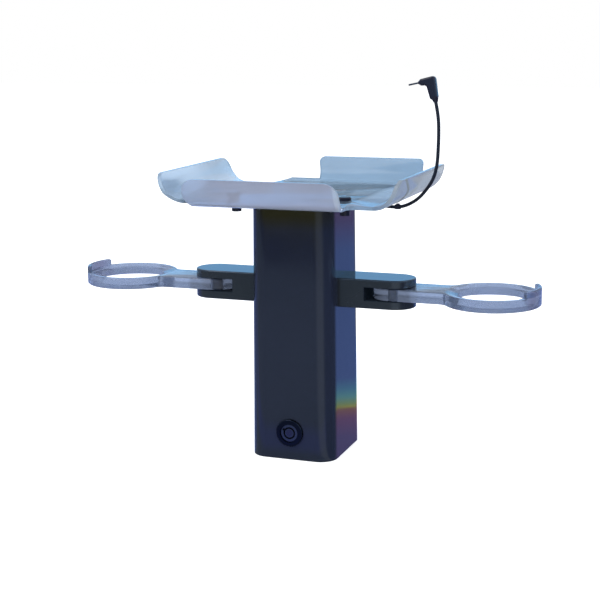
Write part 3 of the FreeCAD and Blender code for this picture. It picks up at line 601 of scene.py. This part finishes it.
@dataclass(frozen=True)
class Metal:
    """Plated or brushed metal with fine marks; middle is its colour near the lock's axis, if given."""

    name: str
    colour: Colour
    roughness: float
    middle: Colour | None = None
    middle_radius: float = 0.0026
    middle_edge: float = 1.3
    middle_z: float = 0.022
    mark_scale: float = 700.0
    mark_depth: float = 0.00001
    mark_range: Range = (0.75, 1.35)
    patch_scale: float = 60.0
    patch_dark: float = 0.8

    def material(self) -> bpy.types.Material:
        """Builds the material."""
        graph = Graph(self.name)
        marks = graph.noise(self.mark_scale, detail=3.0)
        patches = graph.noise(self.patch_scale, detail=2.0)
        tone = graph.blend(patches, tuple(c * self.patch_dark for c in self.colour), self.colour)
        if self.middle:
            across, up = graph.axis("X"), graph.axis("Z") - self.middle_z
            reach = (across * across + up * up) ** 0.5
            outside = graph.span(reach, self.middle_radius, self.middle_radius * self.middle_edge)
            tone = graph.blend(outside, self.middle, tone)
        smooth, coarse = (self.roughness * share for share in self.mark_range)
        return graph.close({
            "Base Color": tone,
            "Metallic": 1.0,
            "Roughness": graph.span(marks, *MOST, smooth, coarse),
            "Normal": graph.bump(marks, self.mark_depth),
        })


# Colours of the counter, as the polished faces mirror it
SLATE: Colour = (0.25, 0.30, 0.35)
IRIS: Colour = (0.25, 0.30, 0.75)
INK: Colour = (0.05, 0.06, 0.10)
OLIVE: Colour = (0.25, 0.22, 0.03)
VIOLET: Colour = (0.25, 0.20, 0.50)
PLUM: Colour = (0.40, 0.20, 0.45)
RUST: Colour = (0.60, 0.30, 0.25)
YELLOW: Colour = (0.90, 0.90, 0.20)
GREEN: Colour = (0.55, 0.80, 0.35)
CYAN: Colour = (0.30, 0.80, 0.85)
SKY: Colour = (0.20, 0.55, 0.90)
BLUE: Colour = (0.18, 0.30, 0.78)

# What the column's right side reflects of the counter: colours by X + 1.57 Y, in parts of 2.5 m
SIDE_CARD = [(0.04, VIOLET), (0.08, PLUM), (0.102, RUST), (0.106, YELLOW), (0.113, GREEN), (0.13, CYAN),
             (0.15, SKY), (0.18, BLUE), (0.75, BLUE), (1.0, VIOLET)]
# What the column's front reflects: colours by distance in front, in parts of 1.5 m
FRONT_CARD = [(0.035, SLATE), (0.05, IRIS), (0.07, IRIS), (0.095, SLATE), (0.6, SLATE), (0.64, INK),
              (0.8, INK), (0.88, OLIVE)]


@dataclass
class Studio:
    """Camera, lights, floor and world.

    The spans called turn are angles round the column's right front corner, in degrees from the X axis.
    """

    position: Triple = (0.3653, -1.0009, 0.3402)
    yaw: float = 20.288
    pitch: float = 11.586
    roll: float = -0.511
    lens: float = 81.25
    sensor: float = 36.0
    clip_start: float = 0.05
    lamp_target: Triple = (0.0, 0.0, 0.12)
    floor_size: float = 12.0
    floor_drop: float = 0.0002
    floor_tint: Colour = (0.93, 0.93, 0.93)
    floor_glow: float = 0.62
    soft: tuple[Colour, float] = ((0.92, 0.96, 1.0), 0.8)
    reflected: tuple[Colour, float] = ((0.33, 0.72, 1.2), 1.0)
    shown: tuple[Colour, float] = ((1.0, 1.0, 1.0), 1.0)
    high: Colour = (0.50, 0.58, 0.72)
    high_span: Range = (0.205, 0.240)
    corner: tuple[float, float] = (0.0345, -0.030)
    front_reach: float = 1.5
    streak: Colour = (0.92, 0.95, 1.0)
    streak_share: float = 0.5
    streak_rise_turn: Range = (-100.0, -78.0)
    streak_fall_turn: Range = (-56.0, -34.0)
    dark_card: Colour = (0.09, 0.13, 0.25)
    dark_turn: Range = (-50.0, -30.0)
    side_slope: float = 1.57
    side_reach: float = 2.5
    side_turn: Range = (40.0, 58.0)
    flap_card: Colour = (0.42, 0.45, 0.55)
    flap_turn: Range = (76.0, 79.0)
    flap_along: Range = (0.35, 0.5)
    back_card: Colour = (0.18, 0.26, 0.62)
    back_turn: Range = (98.0, 112.0)

    def camera(self) -> None:
        """Places the camera at the photograph's viewpoint."""
        yaw, pitch, roll = (math.radians(v) for v in (self.yaw, self.pitch, self.roll))
        ahead = Vector((-math.sin(yaw) * math.cos(pitch), math.cos(yaw) * math.cos(pitch), -math.sin(pitch)))
        side = Vector((math.cos(yaw), math.sin(yaw), 0.0))
        up = side.cross(ahead)
        right = side * math.cos(roll) + up * math.sin(roll)
        top = up * math.cos(roll) - side * math.sin(roll)
        turn = Matrix((right, top, -ahead)).transposed().to_4x4()
        data = bpy.data.cameras.new("camera")
        data.lens = self.lens
        data.sensor_width = self.sensor
        data.clip_start = self.clip_start
        camera = bpy.data.objects.new("camera", data)
        camera.matrix_world = Matrix.Translation(Vector(self.position)) @ turn
        bpy.context.scene.collection.objects.link(camera)
        bpy.context.scene.camera = camera

    def lamp(self, name: str, place: Triple, size: float, power: float,
             colour: Colour) -> None:
        """Adds a soft area lamp that points at the stand.

        Args:
            name: the lamp's name.
            place: where it hangs.
            size: its side in metres.
            power: watts.
            colour: its colour.
        """
        data = bpy.data.lights.new(name, "AREA")
        data.shape = "RECTANGLE"
        data.size = size
        data.size_y = size
        data.energy = power
        data.color = colour
        lamp = bpy.data.objects.new(name, data)
        lamp.location = place
        aim = Vector(self.lamp_target) - Vector(place)
        lamp.rotation_euler = aim.to_track_quat("-Z", "Y").to_euler()
        bpy.context.scene.collection.objects.link(lamp)

    def world(self) -> None:
        """A soft world: white behind and through the object; in reflections blue, and pale higher up."""
        world = bpy.data.worlds.new("world")
        world.use_nodes = True
        tree = world.node_tree
        tree.nodes.clear()
        rays = tree.nodes.new("ShaderNodeLightPath")
        shown = tree.nodes.new("ShaderNodeMath")
        shown.operation = "MAXIMUM"
        tree.links.new(rays.outputs["Is Camera Ray"], shown.inputs[0])
        tree.links.new(rays.outputs["Is Transmission Ray"], shown.inputs[1])
        sides = []
        for colour, strength in (self.soft, self.reflected, self.shown):
            side = tree.nodes.new("ShaderNodeBackground")
            side.inputs[0].default_value = (*colour, 1.0)
            side.inputs[1].default_value = strength
            sides.append(side)
        towards = tree.nodes.new("ShaderNodeTexCoord")
        parts = tree.nodes.new("ShaderNodeSeparateXYZ")
        rise = tree.nodes.new("ShaderNodeMapRange")
        sky = tree.nodes.new("ShaderNodeMix")
        sky.data_type = "RGBA"
        rise.inputs["From Min"].default_value, rise.inputs["From Max"].default_value = self.high_span
        sky.inputs[MIX_FIRST].default_value = (*self.reflected[0], 1.0)
        sky.inputs[MIX_SECOND].default_value = (*self.high, 1.0)
        tree.links.new(towards.outputs["Generated"], parts.inputs[0])
        tree.links.new(parts.outputs["Z"], rise.inputs["Value"])
        tree.links.new(rise.outputs[0], sky.inputs[0])
        tree.links.new(sky.outputs[MIX_RESULT], sides[1].inputs[0])
        first = tree.nodes.new("ShaderNodeMixShader")
        second = tree.nodes.new("ShaderNodeMixShader")
        out = tree.nodes.new("ShaderNodeOutputWorld")
        tree.links.new(rays.outputs["Is Glossy Ray"], first.inputs[0])
        tree.links.new(sides[0].outputs[0], first.inputs[1])
        tree.links.new(sides[1].outputs[0], first.inputs[2])
        tree.links.new(shown.outputs[0], second.inputs[0])
        tree.links.new(first.outputs[0], second.inputs[1])
        tree.links.new(sides[2].outputs[0], second.inputs[2])
        tree.links.new(second.outputs[0], out.inputs[0])
        bpy.context.scene.world = world

    def card(self, graph: Graph) -> Sock:
        """The colours that the object's polished faces reflect from the counter.

        Args:
            graph: the floor's graph.

        Returns:
            A colour that changes round the column: the front card with a light streak, a dark part at the
            right front corner, the side card with a paler part far off, and blue at the back.
        """
        across, along = graph.axis("X"), graph.axis("Y")
        around = graph.node("ShaderNodeMath", {"operation": "ARCTAN2"},
                            {0: along - self.corner[1], 1: across - self.corner[0]})
        turn = graph.out(around) * math.degrees(1.0)
        front = graph.ramp(along / -self.front_reach, FRONT_CARD)
        side = graph.ramp((across + along * self.side_slope) / self.side_reach, SIDE_CARD)
        streak = graph.span(turn, *self.streak_rise_turn) * (1.0 - graph.span(turn, *self.streak_fall_turn))
        front = graph.blend(streak * self.streak_share, front, self.streak)
        far = graph.span(turn, *self.flap_turn) * graph.span(along, *self.flap_along)
        side = graph.blend(far, side, self.flap_card)
        mixed = graph.blend(graph.span(turn, *self.dark_turn), front, self.dark_card)
        mixed = graph.blend(graph.span(turn, *self.side_turn), mixed, side)
        return graph.blend(graph.span(turn, *self.back_turn), mixed, self.back_card)

    def floor(self) -> None:
        """A plain pale floor, white to the camera but for the shadow; reflections see the tinted card."""
        mesh = bpy.data.meshes.new("floor")
        half = self.floor_size / 2
        low = -self.floor_drop
        mesh.from_pydata([(-half, -half, low), (half, -half, low), (half, half, low), (-half, half, low)],
                         [], [(0, 1, 2, 3)])
        plane = bpy.data.objects.new("floor", mesh)
        bpy.context.scene.collection.objects.link(plane)
        graph = Graph("pale_floor")
        rays = graph.node("ShaderNodeLightPath")
        card = self.card(graph)
        pale = graph.node("ShaderNodeBsdfDiffuse", None, {0: self.floor_tint})
        glow = graph.node("ShaderNodeEmission", None, {0: (1.0, 1.0, 1.0), 1: self.floor_glow})
        seen = graph.node("ShaderNodeAddShader", None, {0: graph.out(pale), 1: graph.out(glow)})
        mirror = graph.node("ShaderNodeEmission", None, {0: card, 1: 1.0})
        seen_through = Sock(graph, rays.outputs["Is Transmission Ray"])
        direct = graph.node("ShaderNodeMath", {"operation": "MAXIMUM"},
                            {0: Sock(graph, rays.outputs["Is Camera Ray"]), 1: seen_through})
        open_mix = graph.node("ShaderNodeMixShader", None, {0: graph.out(direct), 1: graph.out(pale),
                                                            2: graph.out(seen)})
        mirrored = Sock(graph, rays.outputs["Is Glossy Ray"]) - seen_through
        last = graph.node("ShaderNodeMixShader", None, {0: mirrored, 1: graph.out(open_mix),
                                                        2: graph.out(mirror)})
        end = graph.node("ShaderNodeOutputMaterial")
        graph.tree.links.new(last.outputs[0], end.inputs[0])
        mesh.materials.append(graph.material)

    def build(self) -> None:
        """Sets up the whole studio."""
        bpy.context.scene.view_settings.view_transform = "Standard"
        self.camera()
        self.world()
        self.floor()
        self.lamp("key", (-0.9, -1.1, 1.7), size=1.2, power=16.0, colour=(1.0, 0.98, 0.95))
        self.lamp("fill", (1.5, -0.6, 1.0), size=1.4, power=7.0, colour=(0.85, 0.93, 1.0))
        LOG.info("studio ready")


def dress(node: str, material: bpy.types.Material) -> None:
    """Gives a CAD node a finish.

    Args:
        node: the node's name.
        material: its finish.
    """
    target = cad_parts[node]
    target.data.materials.clear()
    target.data.materials.append(material)
    LOG.info("dressed %s with %s", node, material.name)


@dataclass
class Lead:
    """The charging lead and its right-angle plug.

    The route, in millimetres, goes from the relief in the column's wall to the foot of the plug.
    """

    diameter: float = 2.6 * MM
    route: tuple[Triple, ...] = (
        (44.7, 10.0, 199.2), (53.0, 10.0, 199.2), (62.0, 5.0, 199.7), (68.7, -3.0, 200.5),
        (75.1, -9.8, 201.1), (84.5, -13.0, 202.0), (94.5, -14.0, 206.9), (101.5, -14.2, 213.8),
        (108.2, -14.0, 223.6), (111.0, -14.0, 234.5), (111.7, -14.0, 247.0), (111.95, -14.0, 259.5),
        (111.47, -14.0, 271.4), (109.39, -14.0, 281.2),
    )
    length: float = 0.1387
    order: int = 3
    steps: int = 12
    ring_steps: int = 6

    def cord(self, material: bpy.types.Material) -> bpy.types.Object:
        """The lead as one smooth curve along its route."""
        curve = bpy.data.curves.new("charging_lead", "CURVE")
        curve.dimensions = "3D"
        spline = curve.splines.new("NURBS")
        spline.points.add(len(self.route) - 1)
        for point, place in zip(spline.points, self.route):
            point.co = (*(v * MM for v in place), 1.0)
        spline.order_u = self.order
        spline.use_endpoint_u = True
        spline.resolution_u = self.steps
        curve.bevel_depth = self.diameter / 2
        curve.bevel_resolution = self.ring_steps
        curve.use_fill_caps = True
        curve.materials.append(material)
        cord = bpy.data.objects.new("charging_lead", curve)
        bpy.context.scene.collection.objects.link(cord)
        return cord

    def build(self, rubber: bpy.types.Material, plug: bpy.types.Material, pin: bpy.types.Material,
              clip: bpy.types.Material) -> None:
        """Makes the lead and dresses what is on it and holds it."""
        dress("plug_body", plug)
        dress("plug_barrel", pin)
        dress("cord_gland", rubber)
        dress("cord_clip", clip)
        cord = self.cord(rubber)
        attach(cord, Body.STAND.value)
        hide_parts("charge_cord")
        LOG.info("lead ready")


@dataclass
class Tray:
    """The bent clear tray, its screws, its bumpers and their nuts."""

    rounding: float = 0.45 * MM
    sharp: float = 35.0
    screw_spread: tuple[float, float] = (44.0 * MM, 48.0 * MM)
    screw_head: float = 4.1 * MM
    screw_head_depth: float = 2.15 * MM
    screw_shank: float = 1.95 * MM
    screw_tip: float = 197.8 * MM
    screw_key: float = 1.45 * MM
    screw_key_sides: int = 6
    floor_top: float = 208.0 * MM
    bumper_spread: float = 89.0 * MM
    bumper_y: float = -33.0 * MM
    bumper_radius: float = 4.8 * MM
    bumper_height: float = 2.6 * MM
    bumper_crown: float = 0.9 * MM
    stem_radius: float = 2.0 * MM
    stem_length: float = 11.0 * MM
    stem_sides: int = 32

    def screws(self, steel: bpy.types.Material) -> bpy.types.Object:
        """Four countersunk screws with six-sided sockets."""
        tree = GeoTree("tray_screw_set")
        head = tree.size("Head radius", self.screw_head)
        depth = tree.size("Head depth", self.screw_head_depth)
        shank = tree.size("Shank radius", self.screw_shank)
        key = tree.size("Key radius", self.screw_key)
        top = tree.size("Top", self.floor_top)
        length = tree.size("Length", self.floor_top - self.screw_tip)
        wide = tree.size("Spread X", self.screw_spread[0])
        deep = tree.size("Spread Y", self.screw_spread[1])
        cone = tree.moved(tree.cone(head, shank, depth), tree.point(z=tree.maths("MULTIPLY", depth, -1.0)))
        bite = tree.maths("MULTIPLY", depth, 0.5)
        bar = tree.drum(shank, tree.maths("SUBTRACT", length, bite))
        low = tree.maths("MULTIPLY", tree.maths("ADD", length, bite), -0.5)
        bar = tree.moved(bar, tree.point(z=low))
        screw = tree.cut(tree.united([cone, bar]), tree.drum(key, depth, self.screw_key_sides))
        grid = tree.node("GeometryNodeMeshGrid", None, {"Size X": wide, "Size Y": deep, "Vertices X": 2,
                                                        "Vertices Y": 2}, "Mesh")
        grid = tree.moved(grid, tree.point(z=top))
        placed = tree.node("GeometryNodeInstanceOnPoints", None, {"Points": grid, "Instance": screw})
        return tree.mesh(placed, steel)

    def bumpers(self, rubber: bpy.types.Material) -> bpy.types.Object:
        """Two round bumpers with crowned tops and stems through the tray."""
        tree = GeoTree("bumper_pair")
        radius = tree.size("Radius", self.bumper_radius)
        height = tree.size("Height", self.bumper_height)
        crown = tree.size("Crown", self.bumper_crown)
        stem = tree.size("Stem radius", self.stem_radius)
        length = tree.size("Stem length", self.stem_length)
        spread = tree.size("Spread", self.bumper_spread)
        side = tree.maths("SUBTRACT", height, crown)
        drum = tree.moved(tree.drum(radius, side), tree.point(z=tree.maths("MULTIPLY", side, 0.5)))
        top = tree.moved(tree.cone(tree.maths("SUBTRACT", radius, crown), radius, crown), tree.point(z=side))
        bite = tree.maths("MULTIPLY", side, 0.5)
        bar = tree.drum(stem, tree.maths("ADD", length, bite), self.stem_sides)
        low = tree.maths("MULTIPLY", tree.maths("SUBTRACT", bite, length), 0.5)
        bar = tree.moved(bar, tree.point(z=low))
        one = tree.united([drum, top, bar])
        line = tree.node("GeometryNodeMeshLine", {"mode": "OFFSET"},
                         {"Count": 2, "Start Location": tree.point(x=tree.maths("MULTIPLY", spread, -0.5),
                                                                   y=self.bumper_y, z=self.floor_top),
                          "Offset": tree.point(x=spread)})
        placed = tree.node("GeometryNodeInstanceOnPoints", None, {"Points": line, "Instance": one})
        return tree.mesh(placed, rubber)

    def build(self, sheet: bpy.types.Material, steel: bpy.types.Material,
              rubber: bpy.types.Material) -> None:
        """Makes the tray's pieces."""
        tray = softened("tray", "clear_tray", self.rounding, self.sharp, sheet)
        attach(tray, Body.STAND.value)
        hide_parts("tray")
        screws = self.screws(steel)
        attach(screws, Body.STAND.value)
        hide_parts("tray_screws")
        bumpers = self.bumpers(rubber)
        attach(bumpers, Body.STAND.value)
        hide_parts("left_bumper", "right_bumper")
        dress("bumper_nuts", rubber)
        LOG.info("tray ready")


@dataclass
class Holders:
    """The two clear ring holders."""

    rounding: float = 0.3 * MM
    sharp: float = 25.0

    def build(self, acrylic: bpy.types.Material) -> None:
        """Makes both arms."""
        for node, body in (("right_arm", Body.RIGHT), ("left_arm", Body.LEFT)):
            arm = softened(node, "clear_" + node, self.rounding, self.sharp, acrylic)
            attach(arm, body.value)
            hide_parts(node)
        LOG.info("holders ready")


@dataclass
class KeyLock:
    """The tubular lock: its pins stand in the keyway."""

    centre_z: float = 22.0 * MM
    pin_ring: float = 4.25 * MM
    pin_radius: float = 0.52 * MM
    pin_count: int = 7
    pin_sides: int = 16
    pin_sink: float = 0.9 * MM
    keyway_depth: float = 6.0 * MM

    def pins(self, metal: bpy.types.Material) -> bpy.types.Object:
        """Seven round-ended pins round the keyway, standing from its floor."""
        face_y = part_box("lock_plug")[0][1]
        tree = GeoTree("lock_pin_set")
        ring = tree.size("Ring radius", self.pin_ring)
        radius = tree.size("Pin radius", self.pin_radius)
        length = tree.size("Pin length", self.keyway_depth - self.pin_sink)
        count = tree.count("Pins", self.pin_count)
        bar = tree.drum(radius, length, self.pin_sides)
        bar = tree.moved(bar, tree.point(z=tree.maths("MULTIPLY", length, 0.5)))
        end = tree.maths("MULTIPLY", radius, 0.5)
        tip = tree.cone(radius, end, end, self.pin_sides)
        tip = tree.moved(tip, tree.point(z=tree.maths("MULTIPLY", end, -1.0)))
        pin = tree.united([bar, tip])
        circle = tree.node("GeometryNodeMeshCircle", None, {"Vertices": count, "Radius": ring})
        placed = tree.node("GeometryNodeInstanceOnPoints", None, {"Points": circle, "Instance": pin})
        turned = tree.moved(placed, tree.point(y=face_y + self.pin_sink, z=self.centre_z),
                            (-math.pi / 2, 0.0, 0.0))
        return tree.mesh(turned, metal)

    def build(self, housing: bpy.types.Material, core: bpy.types.Material,
              metal: bpy.types.Material) -> None:
        """Dresses the lock and adds its pins."""
        dress("lock_barrel", housing)
        dress("lock_plug", core)
        pins = self.pins(metal)
        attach(pins, Body.LOCK.value)
        LOG.info("lock ready")


def column_finish() -> bpy.types.Material:
    """The column's polish, with painted shade under the tray."""
    # Painted shade: brownish black from 0.182 m up, for the tray's shadow
    return Gloss("column_gloss", (0.0145, 0.0182, 0.035), (0.017, 0.016, 0.012), (0.182, 0.196),
                 cast=(0.8, 0.9, 1.0)).material()


def fork_finish() -> bpy.types.Material:
    """The forks' polish, with painted shade, black and matt, inside their slots."""
    colour = (0.017, 0.019, 0.022)
    # Painted shade: the inside of each fork's cut is black and matt
    slot = (Band("Z", 0.1282, 0.1392, 0.0002), Band("X", 0.0550, 0.2, 0.0002, mirrored=True))
    return Gloss("fork_gloss", colour, colour, specular=0.8, stretch=(0.2, 1.0, 1.0), pocket=slot).material()


def tray_finish() -> bpy.types.Material:
    """The tray's acrylic, with painted light and reflection on each flap, painted shade at the right flap's
    foot and painted highlights on the cut edges.
    """
    # Painted highlight on the cut edges, and its share
    edge, edge_highlight_share = (0.80, 0.88, 0.95), 0.6
    front_flap = Band("Y", -0.12, -0.079, 0.002)
    left_flap = Band("X", -0.14, -0.088, 0.005)
    left_end = Band("X", -0.12, -0.079, 0.002)
    flap_tops = Band("Z", 0.2292, 0.24, 0.0006)
    # Where the painted shade along the right flap's foot lies
    foot_shade_bands = (Band("X", 0.0505, 0.0525, 0.0012), Band("Y", -0.034, 0.070, 0.004))
    # Painted light and reflection: each flap's tint, as it is lit and as it mirrors the counter
    painted_light_zones = (
        PaintedLightZone("X", 0.050, 0.058, (0.43, 0.57, 0.75)),
        PaintedLightZone("Y", 0.073, 0.083, (0.29, 0.43, 0.59)),
        PaintedLightZone("X", -0.073, -0.083, (0.60, 0.74, 0.90)),
        PaintedLightZone("X", 0.076, 0.094, (0.58, 0.64, 0.70)),
        PaintedLightZone("Y", -0.073, -0.083, (0.58, 0.62, 0.76)),
    )
    # Painted shade at the right flap's foot, painted light on the front flap's left part and on the left
    # flap, and painted highlights on the cut edges
    light_and_shade_stripes = (
        LightAndShadeStripe((0.12, 0.16, 0.24), 0.8, foot_shade_bands),
        LightAndShadeStripe((0.60, 0.70, 0.88), 0.8, (Band("X", -0.090, -0.044, 0.014), front_flap)),
        LightAndShadeStripe((0.46, 0.57, 0.70), 0.9, (left_flap, Band("Y", -0.08, 0.08, 0.002))),
        LightAndShadeStripe((0.58, 0.72, 0.88), 0.9, (left_flap, Band("Y", -0.08, 0.010, 0.025))),
        LightAndShadeStripe(edge, edge_highlight_share, (Band("X", 0.0556, 0.0600, 0.0005), front_flap)),
        LightAndShadeStripe(edge, edge_highlight_share, (flap_tops, front_flap)),
        LightAndShadeStripe(edge, edge_highlight_share, (flap_tops, left_end)),
    )
    return ClearSheet("tray_acrylic", (0.24, 0.32, 0.41), roughness=0.04, transmission=0.62, index=1.3,
                      painted_light_zones=painted_light_zones, light_and_shade_stripes=light_and_shade_stripes).material()


def arm_finish() -> bpy.types.Material:
    """The arms' acrylic, with painted shade at the hub, at the inner end, on the bar's top, at the lip and
    on the rim of the ring's hole.
    """
    bar_top_shade = (Band("X", 0.0925, 0.128, 0.002, mirrored=True), Band("Z", 0.1378, 0.142, 0.0003))
    # Painted shade: the hub, the inner end, the bar's top, the lip and the rim of the ring's hole
    light_and_shade_stripes = (
        LightAndShadeStripe((0.10, 0.115, 0.16), 0.6, (Band("X", 0.05, 0.0925, 0.002, mirrored=True),)),
        LightAndShadeStripe((0.05, 0.055, 0.07), 0.35, (Band("X", 0.04, 0.0735, 0.005, mirrored=True),)),
        LightAndShadeStripe((0.22, 0.26, 0.30), 0.8, bar_top_shade),
        LightAndShadeStripe((0.18, 0.17, 0.30), 0.65, (Band("X", 0.184, 0.25, 0.002, mirrored=True),)),
        LightAndShadeStripe((0.12, 0.15, 0.25), 0.6, (Band("X", 0.020, 0.0284, 0.0004, centre=RING_CENTRE),)),
    )
    return ClearSheet("arm_acrylic", (0.30, 0.38, 0.57), roughness=0.09, transmission=0.70, index=1.36,
                      light_and_shade_stripes=light_and_shade_stripes, cast=(1.0, 0.88, 0.76), grain_scale=240.0,
                      grain_depth=0.000002).material()


def main() -> None:
    """Builds the stand's looks in order."""
    logging.basicConfig(level=logging.INFO, format="%(name)s: %(message)s")
    Studio().build()
    column, fork, tray, arm = column_finish(), fork_finish(), tray_finish(), arm_finish()
    sleeve_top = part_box("cord_clip")[0][2] + CLIP_SLEEVE
    navy = (0.010, 0.010, 0.024)
    clip = Plastic("clip_black", navy, 0.22, specular=0.35, clear_above=sleeve_top).material()
    rubber = Plastic("lead_rubber", (0.006, 0.008, 0.018), 0.45, spread=0.1, specular=0.3).material()
    black = Plastic("moulded_black", navy, 0.22, specular=0.35).material()
    nickel = Metal("dark_nickel", (0.055, 0.065, 0.085), 0.25).material()
    housing = Metal("lock_plating", (0.017, 0.021, 0.034), 0.24).material()
    core = Metal("lock_core_plating", (0.09, 0.10, 0.135), 0.3, middle=(0.065, 0.065, 0.105)).material()
    steel = Metal("zinc_steel", (0.56, 0.57, 0.6), 0.32).material()
    board = Plastic("board_lacquer", (0.02, 0.14, 0.06), 0.28).material()
    white = Plastic("socket_plastic", (0.78, 0.78, 0.74), 0.4).material()
    dress("column_shell", column)
    for node in ("right_fork", "left_fork"):
        dress(node, fork)
    Tray().build(tray, steel, black)
    Holders().build(arm)
    KeyLock().build(housing, core, housing)
    for node in ("inlet_socket", "board_components"):
        dress(node, black)
    for node in ("base_plate", "right_fork_screws", "left_fork_screws", "right_pivot_screw",
                 "left_pivot_screw", "lock_nut", "lock_cam", "cam_screw", "board_bracket", "bracket_screws",
                 "board_standoffs", "board_screws"):
        dress(node, steel)
    for node in ("right_thrust_washers", "left_thrust_washers", "output_socket"):
        dress(node, white)
    dress("power_board", board)
    dress("inner_lead", rubber)
    Lead().build(rubber, black, nickel, clip)


if __name__ == "__main__":
    main()
